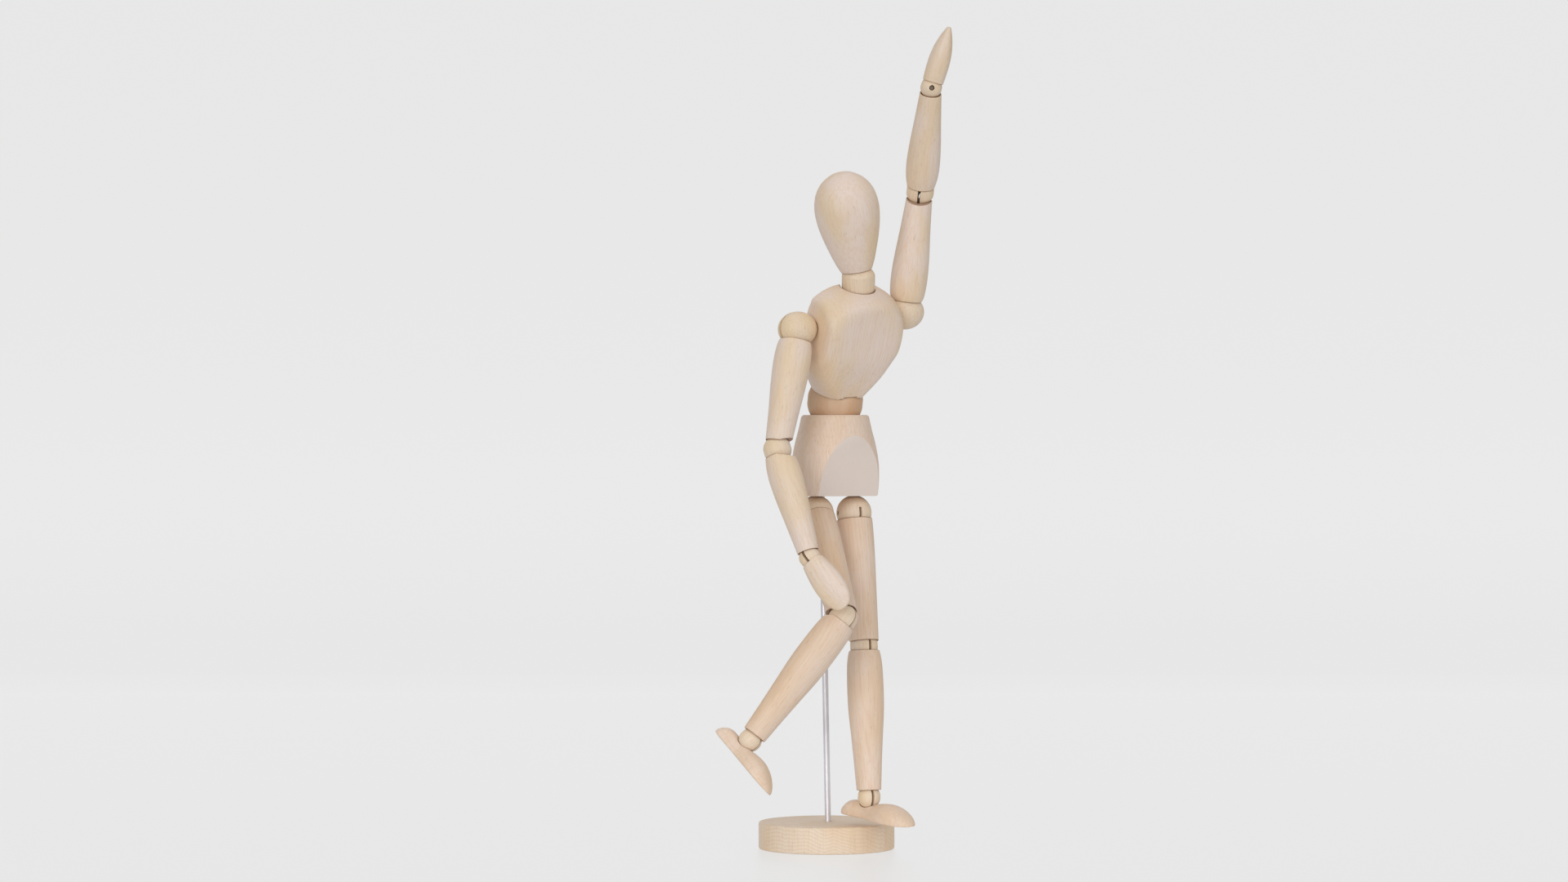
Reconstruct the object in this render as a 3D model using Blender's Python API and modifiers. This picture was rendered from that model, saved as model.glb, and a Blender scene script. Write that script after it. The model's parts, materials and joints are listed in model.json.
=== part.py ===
"""Wooden mannequin figure: an artist's jointed lay figure on a steel rod and a round base.

Every limb is a turned, bored segment with a cupped end. Between two segments sits a small
ball link with a cross pin in a slot, and a spring inside each segment hooks on the pins.
Lengths below are millimetres and angles are degrees. +Z is up, -Y is the side a viewer faces.
A body frame is an empty: its +X is the figure's left, its -Y the figure's front.
"""

import math

import bmesh
import bpy
from mathutils import Matrix, Vector

MM = 0.001
GAP = 0.4  # clearance of a cup around its ball
SIDES = 14  # sides of a turned limb
FINE_SIDES = 20  # sides of the chest, pelvis and head
CUP_SIDES = 22  # sides of a cutter that hollows a cup
BASE_SIDES = 40

# Support
BASE_RADIUS = 32.6
BASE_HEIGHT = 12.9
BASE_EDGE = 0.8
ROD_RADIUS = 1.45
ROD_HOLE_RADIUS = 1.75
ROD_FOOT = Vector((0.9, 0.0, 3.0))  # lower end, in the base's blind hole
ROD_HEAD = Vector((-2.6, 0.0, 184.0))  # upper end, in the pelvis
ROD_HOLE_END = 0.6  # how much deeper each blind hole is

# Trunk
HIP_CENTRE = Vector((4.0, -10.9, 161.1))
HIP_HALF_SPACING = 10.5
WAIST_HEIGHT = 53.3  # above the hip centre
NECK_HEIGHT = 62.0  # above the waist ball
HEAD_TOP = 53.0  # above the neck ball
SHOULDER_HALF_SPACING = 29.8
SHOULDER_HEIGHT = 42.3  # above the waist ball
SHOULDER_SKEW = 2.75  # the bore through the chest rises this much to each side's left
SHOULDER_FORWARD = 0.6
SHOULDER_HALF_LENGTH = 9.6  # the shoulder ball is longer across the body than it is round

# Balls: radius of the sphere, and of the barrel that trims it
BALLS = {
    "waist": (13.4, 13.2),
    "neck": (8.6, 7.85),
    "shoulder": (8.3, 8.3),
    "elbow": (6.65, 6.5),
    "wrist": (5.1, 5.0),
    "hip": (8.45, 8.45),
    "knee": (6.75, 6.6),
    "ankle": (5.45, 5.35),
}

# Limb lengths between ball centres
UPPER_ARM = 58.2
FOREARM = 53.8
THIGH = 64.3
SHIN = 71.6

# The flat cut on the folding side of a limb's end: where it starts beside the axis, its slope
NOTCH_START = 0.6
NOTCH_SLOPE = 24.0

# Limb outlines: distance below the upper ball's centre, radius
UPPER_ARM_OUTLINE = [(5.8, 7.4), (9, 8.3), (16, 8.75), (26, 8.4), (40, 7.2), (54.5, 6.2)]
FOREARM_OUTLINE = [(2.9, 6.65), (8, 7.6), (14, 7.95), (23, 7.55), (36, 6.4), (50.8, 5.1)]
THIGH_OUTLINE = [(3.3, 8.5), (11, 8.65), (24, 8.45), (42, 7.85), (62.1, 7.2)]
SHIN_OUTLINE = [(2.15, 7.3), (8, 8.3), (18, 8.65), (30, 8.5), (44, 7.45), (56, 6.6), (68.4, 5.85)]
# Trunk outlines: radius, height above the frame's origin, from the top down
HEAD_OUTLINE = [
    (0, HEAD_TOP), (5.4, 52.0), (10.2, 48.8), (13.7, 43.6), (15.2, 37), (14.95, 30.5),
    (13.6, 23.5), (11.4, 16), (9.2, 9.6), (7.4, 5.6),
]
CHEST_OUTLINE = [
    (0, 59.2), (9.6, 59.0), (14.2, 57.4), (19.2, 54.2), (23.2, 49.0), (25.6, 42.5), (26.2, 37.0),
    (25.2, 31.0), (22.6, 24.5), (19.4, 17.5), (16.2, 11.8), (12.9, 6.2), (0, 6.2),
]
CHEST_HALF_WIDTH = 20.8
CHEST_FRONT = 16.6
CHEST_FLOOR = 6.2
PELVIS_OUTLINE = [
    (0, 46.8), (15.5, 46.8), (16.2, 46.1), (17.5, 40), (19.3, 33), (20.7, 25), (21.0, 18),
    (20.4, 9.0), (19.8, 8.2), (0, 8.2),
]
PELVIS_FLOOR = 8.2

# Hands: distance below the wrist, half width, half thickness
HAND_SECTIONS = [
    (2.7, 5.3, 4.9), (7, 6.2, 5.1), (13, 7.0, 5.1), (19, 7.1, 4.4), (24.5, 6.1, 2.9),
    (28.2, 3.9, 1.4), (29.4, 1.6, 0.8),
]
# Feet: distance in front of the ankle, underside, top, half width
FOOT_SECTIONS = [
    (-14.2, -9.0, -7.6, 2.8), (-13.2, -9.6, -5.4, 4.7), (-10.5, -9.9, -3.2, 5.7),
    (-6.5, -9.9, -2.8, 5.5), (-2, -9.9, -3.4, 5.1), (3, -9.9, -3.1, 5.6), (9, -9.9, -1.9, 7.3),
    (14, -9.9, -1.6, 8.4), (19, -9.9, -2.8, 8.0), (23.5, -9.9, -5.2, 6.1), (26.6, -9.8, -7.6, 3.2),
    (27.4, -9.6, -8.6, 1.2),
]
SOLE_EDGE = 0.18  # height of a foot's widest line, as a share of its thickness

# Hardware
PIN_RADIUS = 1.0
PIN_HOLE_RADIUS = 1.25
PIN_RECESS = 0.9
PIN_HOLE_FLOOR = 1.6  # wood left beyond a pin hole
PIN_END = 1.9  # from the far side of the ball to the pin's end
SLOT_HALF_WIDTH = 0.7
WIRE_RADIUS = 0.25
EYE_RADIUS = 1.55
EYE_OFFSET = 0.33  # two eyes share a pin side by side
LIMB_BORE = 2.6
LIMB_COIL = 1.9
TRUNK_BORE = 3.7
TRUNK_COIL = 2.1
NECK_BORE = 2.9
NECK_COIL = 1.5

# Pose of the stored figure, in degrees
PELVIS_FACING = 30
CHEST_LEAN_HEADING = -6
CHEST_LEAN = 25
CHEST_TURN = 3
HEAD_LEAN_HEADING = 33
HEAD_LEAN = -21
ARM_POSE = {
    "right": {"swing": -28.1, "raise": 16.9, "twist": 48.5, "elbow": 26, "forearm": -15.6,
              "wrist": 18.8, "wrist_link": 87, "hand": 0},
    "left": {"swing": -193.2, "raise": 4.7, "twist": 218.3, "elbow": 19.4, "forearm": -157.4,
             "wrist": 24.7, "wrist_link": 62, "hand": 0},
}
LEG_POSE = {
    "right": {"turn": -13.4, "swing": 41.6, "twist": 48.2, "knee": 55.9, "shin": 11,
              "ankle": -12.9, "foot": 1.7},
    "left": {"turn": -8.2, "swing": 11, "twist": 4.7, "knee": 5, "shin": -6.3, "ankle": -12.9,
             "foot": 27.3},
}
SIDE_SIGN = {"right": -1, "left": 1}

PARTS = None
CUTTERS = None
WORLD = {}  # frame name -> its matrix, in millimetres
EMPTIES = {}
MATERIALS = {}


# ---------------------------------------------------------------- frames and materials


def turned_by(*turns):
    """A rotation made of (axis, degrees) steps, each about the last step's own axes."""
    matrix = Matrix.Identity(4)
    for axis, degrees in turns:
        matrix = matrix @ Matrix.Rotation(math.radians(degrees), 4, axis)
    return matrix


def moved(x, y, z):
    return Matrix.Translation((x, y, z))


def scaled_to_metres(matrix):
    """The same placement with its translation in metres."""
    result = matrix.copy()
    result.translation = matrix.translation * MM
    return result


def add_frame(name, parent, local):
    """An empty that a body's pieces hang on. local is its place in its parent's frame."""
    empty = bpy.data.objects.new(name + "_frame", None)
    empty.empty_display_size = 0.01
    PARTS.objects.link(empty)
    if parent:
        empty.parent = EMPTIES[parent]
    empty.matrix_local = scaled_to_metres(local)
    EMPTIES[name] = empty
    WORLD[name] = WORLD[parent] @ local if parent else local
    return name


def add_material(name, colour, roughness, metallic):
    material = bpy.data.materials.new(name)
    material.use_nodes = True
    shader = material.node_tree.nodes["Principled BSDF"]
    shader.inputs["Base Color"].default_value = (*colour, 1.0)
    shader.inputs["Roughness"].default_value = roughness
    shader.inputs["Metallic"].default_value = metallic
    MATERIALS[name] = material


def place(name, data, frame, material, local=None):
    """An object in a body's frame. With no material it is a cutter."""
    thing = bpy.data.objects.new(name, data)
    thing.parent = EMPTIES[frame]
    if local:
        thing.matrix_local = scaled_to_metres(local)
    if material:
        data.materials.append(MATERIALS[material])
        PARTS.objects.link(thing)
    else:
        thing.hide_render = True
        thing.display_type = "WIRE"
        CUTTERS.objects.link(thing)
    return thing


def cut(piece, *cutters):
    for cutter in cutters:
        boolean = piece.modifiers.new("cut by " + cutter.name, "BOOLEAN")
        boolean.operation = "DIFFERENCE"
        boolean.object = cutter


# ---------------------------------------------------------------- shapes


def turned(name, outline, frame, material, sides=SIDES, closed=False, local=None):
    """A turned shape from (radius, height) points that run down the outer side."""
    mesh = bpy.data.meshes.new(name)
    points = [(radius * MM, 0, height * MM) for radius, height in outline]
    edges = [(i, i + 1) for i in range(len(points) - 1)]
    if closed:
        edges.append((len(points) - 1, 0))
    mesh.from_pydata(points, edges, [])
    thing = place(name, mesh, frame, material, local)
    screw = thing.modifiers.new("turn", "SCREW")
    screw.steps = sides
    screw.render_steps = sides
    screw.use_merge_vertices = True
    screw.merge_threshold = 0.000001
    return thing


def cylinder(name, radius, start, end, frame, material, sides=12):
    """A straight round bar between two points of a frame."""
    mesh = bpy.data.meshes.new(name)
    work = bmesh.new()
    axis = end - start
    bmesh.ops.create_cone(
        work, cap_ends=True, segments=sides, radius1=radius * MM, radius2=radius * MM,
        depth=axis.length * MM,
    )
    work.to_mesh(mesh)
    work.free()
    middle = Matrix.Translation((start + end) / 2) @ axis.to_track_quat("Z", "Y").to_matrix().to_4x4()
    return place(name, mesh, frame, material, middle)


def prism(name, outline, half_width, frame, local=None):
    """A cutter with the outline in its own YZ plane, half_width thick each way along X."""
    mesh = bpy.data.meshes.new(name)
    work = bmesh.new()
    corners = [work.verts.new((-half_width * MM, y * MM, z * MM)) for y, z in outline]
    face = work.faces.new(corners)
    extruded = bmesh.ops.extrude_face_region(work, geom=[face])
    moving = [v for v in extruded["geom"] if isinstance(v, bmesh.types.BMVert)]
    bmesh.ops.translate(work, verts=moving, vec=(2 * half_width * MM, 0, 0))
    bmesh.ops.recalc_face_normals(work, faces=work.faces)
    work.to_mesh(mesh)
    work.free()
    return place(name, mesh, frame, None, local)


def flat_cutter(name, frame, local):
    """A large block whose lower face, in its own XY plane, cuts a flat facet."""
    mesh = bpy.data.meshes.new(name)
    work = bmesh.new()
    size = 160 * MM
    bmesh.ops.create_cube(work, size=size, matrix=Matrix.Translation((0, 0, size / 2)))
    work.to_mesh(mesh)
    work.free()
    return place(name, mesh, frame, None, local)


def lofted(name, rings, frame, material):
    """A closed skin through rings of equally many points, from its first ring to its last."""
    mesh = bpy.data.meshes.new(name)
    work = bmesh.new()
    rows = [[work.verts.new(point * MM) for point in ring] for ring in rings]
    count = len(rows[0])
    for upper, lower in zip(rows, rows[1:]):
        for i in range(count):
            j = (i + 1) % count
            work.faces.new((upper[i], upper[j], lower[j], lower[i]))
    work.faces.new(rows[0])
    work.faces.new(rows[-1])
    bmesh.ops.recalc_face_normals(work, faces=work.faces)
    work.to_mesh(mesh)
    work.free()
    return place(name, mesh, frame, material)


def rounded_ring(half_a, half_b, count=12, squareness=2.6):
    """Points of a rounded oblong, as (a, b)."""
    points = []
    for i in range(count):
        angle = 2 * math.pi * (i + 0.5) / count
        c, s = math.cos(angle), math.sin(angle)
        reach = (abs(c) ** squareness + abs(s) ** squareness) ** (-1 / squareness)
        points.append((half_a * reach * c, half_b * reach * s))
    return points


def sole_ring(low, high, half_width, count=14):
    """Points of a domed section on a flat sole, as (x, z)."""
    edge = low + (high - low) * SOLE_EDGE
    points = []
    for i in range(count):
        angle = 2 * math.pi * (i + 0.5) / count
        c, s = math.cos(angle), math.sin(angle)
        squareness, depth = (2.2, high - edge) if s > 0 else (6.0, edge - low)
        reach = (abs(c) ** squareness + abs(s) ** squareness) ** (-1 / squareness)
        points.append((half_width * reach * c, edge + depth * reach * s))
    return points


def cup_arc(ball_radius, rim, bore, steps=3):
    """(radius, distance from the ball's centre) from a cup's rim in to its bore."""
    radius = ball_radius + GAP
    outer = math.acos(rim / radius)
    inner = math.asin(bore / radius)
    angles = [outer + (inner - outer) * i / steps for i in range(steps + 1)]
    return [(radius * math.sin(a), radius * math.cos(a)) for a in angles]


def cup_cutter(name, kind, frame, local=None):
    """The hollow that a round ball turns in."""
    radius = BALLS[kind][0] + GAP
    outline = ball_outline(radius, radius, steps=10)
    return turned(name, outline, frame, None, sides=CUP_SIDES, local=local)


def ball_outline(radius, barrel, steps=8):
    """A sphere trimmed to a barrel, from its top to its bottom."""
    angles = [math.pi * i / steps for i in range(steps + 1)]
    points = [(min(radius * math.sin(a), barrel), radius * math.cos(a)) for a in angles]
    points[0] = (0, radius)
    points[-1] = (0, -radius)
    return points


# ---------------------------------------------------------------- balls, pins and springs


def add_ball(name, frame, kind, slot, mouth_side=1):
    """A ball link with its slot, and the blind hole of its cross pin along the frame's X."""
    radius, barrel = BALLS[kind]
    ball = turned(name, ball_outline(radius, barrel), frame, "link_wood")
    mouth = Vector((mouth_side, 0, 0))
    slot_cutter = prism(name + "_slot", slot, SLOT_HALF_WIDTH, frame)
    hole = cylinder(
        name + "_pin_hole", PIN_HOLE_RADIUS, mouth * (PIN_HOLE_FLOOR - radius),
        mouth * (radius + 2), frame, None,
    )
    cut(ball, slot_cutter, hole)
    cylinder(
        name.replace("ball", "pin"), PIN_RADIUS, mouth * (PIN_END - radius),
        mouth * (radius - PIN_RECESS), frame, "steel", sides=10,
    )
    return ball


def open_slot(radius, web_side):
    """A slot through the ball, but for a web on the side that the joint folds to."""
    reach = radius + 1
    near, half = 3.0 * web_side, 1.3
    far = reach * web_side
    return [
        (-far, -reach), (far, -reach), (far, -half), (near, -half),
        (near, half), (far, half), (far, reach), (-far, reach),
    ]


def hip_slot(radius):
    """Open in front, below and behind, with a narrow way up for the hip spring's hook."""
    reach = radius + 1
    top, neck = 3.0, 1.0
    return [
        (-reach, -reach), (reach, -reach), (reach, top), (neck, top),
        (neck, reach), (-neck, reach), (-neck, top), (-reach, top),
    ]


def shoulder_slot(radius, inner_sign):
    """Open outwards and down, with a narrow way in to the chest's spring.

    The prism's Y runs towards the chest here."""
    reach = radius + 2.5
    neck, low = 1.0, 4.4
    return [
        (-reach * inner_sign, -reach), (low * inner_sign, -reach), (low * inner_sign, -neck),
        (reach * inner_sign, -neck), (reach * inner_sign, neck), (2.4 * inner_sign, neck),
        (2.4 * inner_sign, reach), (-reach * inner_sign, reach),
    ]


def eye(centre, pin_axis, towards, offset, ball_radius):
    """A wire eye around a pin, and its way out of the ball's slot towards a point."""
    across = pin_axis.normalized()
    out = towards - centre
    out -= across * out.dot(across)
    out.normalize()
    side = across.cross(out)
    middle = centre + across * offset
    angles = [math.radians(-300 + 60 * i) for i in range(6)]
    ring = [middle + EYE_RADIUS * (out * math.cos(a) + side * math.sin(a)) for a in angles]
    return ring + [middle + out * (ball_radius + 0.6)]


def coil(start, bend, end, radius, turns, steps=4):
    """A coil around the smooth curve from start to end that leans towards bend."""
    points = []
    for i in range(turns * steps + 1):
        t = i / (turns * steps)
        middle = start * (1 - t) ** 2 + bend * (2 * t * (1 - t)) + end * t**2
        along = ((bend - start) * (1 - t) + (end - bend) * t).normalized()
        across = along.orthogonal() if abs(along.x) > 0.9 else along.cross(Vector((1, 0, 0)))
        across.normalize()
        side = along.cross(across)
        angle = 2 * math.pi * i / steps
        points.append(middle + radius * (across * math.cos(angle) + side * math.sin(angle)))
    return points


def wire(name, points, frame):
    """A wire through points of a frame."""
    curve = bpy.data.curves.new(name, "CURVE")
    curve.dimensions = "3D"
    curve.bevel_depth = WIRE_RADIUS * MM
    curve.bevel_resolution = 0
    curve.use_fill_caps = True
    spline = curve.splines.new("POLY")
    spline.points.add(len(points) - 1)
    for slot, point in zip(spline.points, points):
        slot.co = (*(point * MM), 1)
    return place(name, curve, frame, "spring_steel")


def seen_from(frame, other):
    """The place of another frame in this frame."""
    return WORLD[frame].inverted() @ WORLD[other]


def limb_spring(name, frame, balls, length, coil_start, coil_end):
    """A spring in a limb's bore that hooks on the pins of the balls at its two ends."""
    start, end = Vector((0, 0, -coil_start)), Vector((0, 0, coil_end - length))
    eyes = []
    for ball, towards, offset in zip(balls, (start, end), (EYE_OFFSET, -EYE_OFFSET)):
        eyes.append(eye_at(frame, ball, towards, offset))
    middle = coil(start, (start + end) / 2, end, LIMB_COIL, 4)
    wire(name, eyes[0] + [start] + middle + [end] + eyes[1][::-1], frame)


def eye_at(frame, ball, towards, offset):
    """A wire eye in one frame, round the pin of the ball with another frame."""
    placed = seen_from(frame, ball)
    kind = ball.split("_")[0]
    pin = Vector((0, 1, 0)) if kind == "shoulder" else Vector((1, 0, 0))
    reach = BALLS[kind][0]
    return eye(placed.translation, placed.to_3x3() @ pin, towards, offset, reach)


def add_hook(name, frame, ball_frame, length, towards):
    """A hook screwed into a hand or foot, with its eye round the ball's pin."""
    tip = seen_from(frame, ball_frame).translation + towards * length
    wire(name, eye_at(frame, ball_frame, tip, EYE_OFFSET) + [tip], frame)


# ---------------------------------------------------------------- bodies


def segment(name, frame, outline, upper_kind, lower_kind, length):
    """A turned limb with a cup at each end and a bore right through."""
    upper_rim = outline[0][0]
    lower_rim = length - outline[-1][0]
    upper = [(r, -z) for r, z in cup_arc(BALLS[upper_kind][0], upper_rim, LIMB_BORE)]
    lower = [(r, z - length) for r, z in cup_arc(BALLS[lower_kind][0], lower_rim, LIMB_BORE)]
    outer = [(radius, -distance) for distance, radius in outline]
    return turned(name, outer + lower + upper[::-1], frame, "wood", closed=True)


def notch(name, frame, height, fold_side, faces_down):
    """A cutter that slopes a limb's end away on the side its joint folds to."""
    slope = fold_side * NOTCH_SLOPE
    tilt = 180 + slope if faces_down else -slope
    return flat_cutter(
        name, frame, moved(0, fold_side * NOTCH_START, height) @ turned_by(("X", tilt)),
    )


def rim_height(outline):
    """The height of a limb's upper rim above its frame's origin."""
    return -outline[0][0]


def add_support():
    add_frame("support", None, Matrix.Identity(4))
    top = BASE_HEIGHT
    base = turned(
        "base",
        [(0, top), (BASE_RADIUS - BASE_EDGE, top), (BASE_RADIUS, top - BASE_EDGE),
         (BASE_RADIUS, BASE_EDGE), (BASE_RADIUS - BASE_EDGE, 0), (0, 0)],
        "support", "wood", sides=BASE_SIDES,
    )
    up = (ROD_HEAD - ROD_FOOT).normalized()
    hole = cylinder(
        "base_rod_hole", ROD_HOLE_RADIUS, ROD_FOOT - up * ROD_HOLE_END, ROD_FOOT + up * 20,
        "support", None,
    )
    cut(base, hole)
    cylinder("rod", ROD_RADIUS, ROD_FOOT, ROD_HEAD, "support", "steel", sides=16)


def add_pelvis():
    add_frame("pelvis", None, Matrix.Translation(HIP_CENTRE) @ turned_by(("Z", PELVIS_FACING)))
    pelvis = turned("pelvis", PELVIS_OUTLINE, "pelvis", "wood", sides=FINE_SIDES)
    up = (ROD_HEAD - ROD_FOOT).normalized()
    belly = moved(0, -12.0, PELVIS_FLOOR) @ turned_by(("X", 90 + 12.5))
    cutters = [
        flat_cutter("pelvis_belly_facet", "pelvis", belly),
        cylinder(
            "pelvis_rod_hole", ROD_HOLE_RADIUS, ROD_FOOT + up * 100, ROD_HEAD + up * ROD_HOLE_END,
            "support", None,
        ),
        cup_cutter("pelvis_waist_cup", "waist", "pelvis", moved(0, 0, WAIST_HEIGHT)),
        cylinder(
            "pelvis_waist_bore", TRUNK_BORE, Vector((0, 0, WAIST_HEIGHT - 26)),
            Vector((0, 0, WAIST_HEIGHT)), "pelvis", None,
        ),
    ]
    for side, sign in SIDE_SIGN.items():
        x = sign * HIP_HALF_SPACING
        cutters += [
            cup_cutter(f"pelvis_hip_cup_{side}", "hip", "pelvis", moved(x, 0, 0)),
            cylinder(
                f"pelvis_hip_bore_{side}", LIMB_BORE, Vector((x, 0, 0)), Vector((x, 0, 25)),
                "pelvis", None,
            ),
        ]
    cut(pelvis, *cutters)


def trunk_ball(name, frame, kind, bore):
    """A ball of the spine, bored for the spring that runs through it."""
    radius, barrel = BALLS[kind]
    outline = ball_outline(radius, barrel, steps=10)
    ball = turned(name, outline, frame, "link_wood", sides=FINE_SIDES)
    reach = radius + 2
    hole = cylinder(
        name + "_bore", bore, Vector((0, 0, -reach)), Vector((0, 0, reach)), frame, None,
    )
    cut(ball, hole)


def add_trunk():
    heading, lean = CHEST_LEAN_HEADING, CHEST_LEAN
    waist = moved(0, 0, WAIST_HEIGHT)
    add_frame(
        "waist_ball", "pelvis",
        waist @ turned_by(("Z", heading), ("X", lean / 2), ("Z", -heading)),
    )
    trunk_ball("waist_ball", "waist_ball", "waist", 4.6)
    add_frame(
        "chest", "pelvis",
        waist @ turned_by(("Z", heading), ("X", lean), ("Z", CHEST_TURN - heading)),
    )
    add_chest()
    heading, lean = HEAD_LEAN_HEADING, HEAD_LEAN
    neck = moved(0, 0, NECK_HEIGHT)
    add_frame(
        "neck_ball", "chest",
        neck @ turned_by(("Z", heading), ("X", lean / 2), ("Z", -heading)),
    )
    trunk_ball("neck_ball", "neck_ball", "neck", NECK_BORE)
    add_frame(
        "head", "chest", neck @ turned_by(("Z", heading), ("X", lean), ("Z", -heading)),
    )
    add_head()
    spine_spring("waist_spring", "pelvis", "waist_ball", "chest", 24, 4.4, TRUNK_COIL, 7)
    spine_spring("neck_spring", "chest", "neck_ball", "head", 16, 2.6, NECK_COIL, 6)


def spine_spring(name, lower, ball, upper, reach, bow, radius, turns):
    """A spring screwed into two trunk pieces through the ball between them."""
    start = seen_from(ball, lower).to_3x3() @ Vector((0, 0, -reach))
    end = seen_from(ball, upper).to_3x3() @ Vector((0, 0, reach))
    outward = -(start + end).normalized() * bow
    wire(name, coil(start, outward, end, radius, turns), ball)


def shoulder_place(sign):
    """A shoulder ball's centre in the chest's frame."""
    height = SHOULDER_HEIGHT + sign * SHOULDER_SKEW
    return sign * SHOULDER_HALF_SPACING, -SHOULDER_FORWARD, height


def add_chest():
    chest = turned("chest", CHEST_OUTLINE, "chest", "wood", sides=FINE_SIDES)
    shoulders = [
        Vector(shoulder_place(sign)) for sign in SIDE_SIGN.values()
    ]
    cutters = [
        flat_cutter("chest_front", "chest", moved(0, -CHEST_FRONT, 0) @ turned_by(("X", 90))),
        flat_cutter(
            "chest_belly", "chest", moved(0, -11.4, CHEST_FLOOR) @ turned_by(("X", 90 + 14)),
        ),
        flat_cutter(
            "chest_back", "chest", moved(0, 12.6, CHEST_FLOOR) @ turned_by(("X", -90 + 8)),
        ),
        cup_cutter("chest_waist_cup", "waist", "chest"),
        cup_cutter("chest_neck_cup", "neck", "chest", moved(0, 0, NECK_HEIGHT)),
        cylinder(
            "chest_waist_bore", TRUNK_BORE, Vector((0, 0, 0)), Vector((0, 0, 26)), "chest", None,
        ),
        cylinder(
            "chest_neck_bore", NECK_BORE, Vector((0, 0, NECK_HEIGHT - 18)),
            Vector((0, 0, NECK_HEIGHT)), "chest", None,
        ),
        cylinder("chest_shoulder_bore", LIMB_BORE, shoulders[0], shoulders[1], "chest", None),
    ]
    for (side, sign), shoulder in zip(SIDE_SIGN.items(), shoulders):
        flat = moved(sign * CHEST_HALF_WIDTH, 0, 0) @ turned_by(("Y", sign * 90))
        cutters.append(flat_cutter(f"chest_side_{side}", "chest", flat))
        socket = turned(
            f"chest_socket_{side}", shoulder_outline(GAP, steps=10), "chest", None,
            sides=CUP_SIDES,
            local=Matrix.Translation(shoulder) @ turned_by(("Y", 90)),
        )
        cutters.append(socket)
    cut(chest, *cutters)


def shoulder_outline(extra=0.0, steps=8):
    """The shoulder ball turned about its long axis, which runs across the body."""
    radius, length = BALLS["shoulder"][0] + extra, SHOULDER_HALF_LENGTH + extra
    angles = [math.pi * i / steps for i in range(steps + 1)]
    points = [(radius * math.sin(a), length * math.cos(a)) for a in angles]
    points[0] = (0, length)
    points[-1] = (0, -length)
    return points


def add_head():
    cup = cup_arc(BALLS["neck"][0], HEAD_OUTLINE[-1][1], NECK_BORE)
    bore_end = 20.0
    outline = HEAD_OUTLINE + cup + [(NECK_BORE, bore_end), (0, bore_end)]
    turned("head", outline, "head", "wood", sides=FINE_SIDES)


def add_arm(side):
    sign, pose = SIDE_SIGN[side], ARM_POSE[side]
    ball, arm = f"shoulder_ball_{side}", f"upper_arm_{side}"
    elbow, forearm = f"elbow_ball_{side}", f"forearm_{side}"
    wrist, hand = f"wrist_ball_{side}", f"hand_{side}"
    add_frame(
        ball, "chest",
        moved(*shoulder_place(sign)) @ turned_by(("X", pose["swing"])),
    )
    add_shoulder_ball(side, ball, sign)
    add_frame(arm, ball, turned_by(("Y", -sign * pose["raise"]), ("Z", pose["twist"])))
    upper_arm = segment(arm, arm, UPPER_ARM_OUTLINE, "shoulder", "elbow", UPPER_ARM)
    cup = turned(
        arm + "_cup", shoulder_outline(GAP, steps=10), ball, None, sides=CUP_SIDES,
        local=turned_by(("Y", 90)),
    )
    lower_notch = notch(arm + "_notch", arm, -UPPER_ARM_OUTLINE[-1][0], -1, faces_down=True)
    cut(upper_arm, cup, lower_notch)
    add_frame(elbow, arm, moved(0, 0, -UPPER_ARM) @ turned_by(("X", -pose["elbow"])))
    add_ball(elbow, elbow, "elbow", open_slot(BALLS["elbow"][0], 1))
    add_frame(forearm, elbow, turned_by(("Z", pose["forearm"])))
    lower_arm = segment(forearm, forearm, FOREARM_OUTLINE, "elbow", "wrist", FOREARM)
    cut(lower_arm, notch(forearm + "_notch", elbow, rim_height(FOREARM_OUTLINE), -1, faces_down=False))
    add_frame(
        wrist, forearm,
        moved(0, 0, -FOREARM) @ turned_by(("X", -pose["wrist"]), ("Z", pose["wrist_link"])),
    )
    add_ball(wrist, wrist, "wrist", open_slot(BALLS["wrist"][0], -1))
    add_frame(hand, wrist, turned_by(("Z", pose["hand"])))
    add_hand(hand, wrist)
    limb_spring(f"upper_arm_spring_{side}", arm, (ball, elbow), UPPER_ARM, 12.0, 10.5)
    limb_spring(f"forearm_spring_{side}", forearm, (elbow, wrist), FOREARM, 9.5, 8.5)


def add_shoulder_ball(side, frame, sign):
    """The long ball at a shoulder. Its pin runs front to back, its slot across the body."""
    ball = turned(
        frame, shoulder_outline(), frame, "link_wood", local=turned_by(("Y", 90)),
    )
    radius = BALLS["shoulder"][0]
    slot = prism(
        frame + "_slot", shoulder_slot(radius, sign), SLOT_HALF_WIDTH, frame,
        turned_by(("Z", 90)),
    )
    mouth = Vector((0, -sign, 0))
    hole = cylinder(
        frame + "_pin_hole", PIN_HOLE_RADIUS, mouth * (radius + 2), mouth * (PIN_HOLE_FLOOR - radius),
        frame, None,
    )
    cut(ball, slot, hole)
    cylinder(
        f"shoulder_pin_{side}", PIN_RADIUS, mouth * (radius - PIN_RECESS),
        mouth * (PIN_END - radius), frame, "steel", sides=10,
    )


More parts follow.
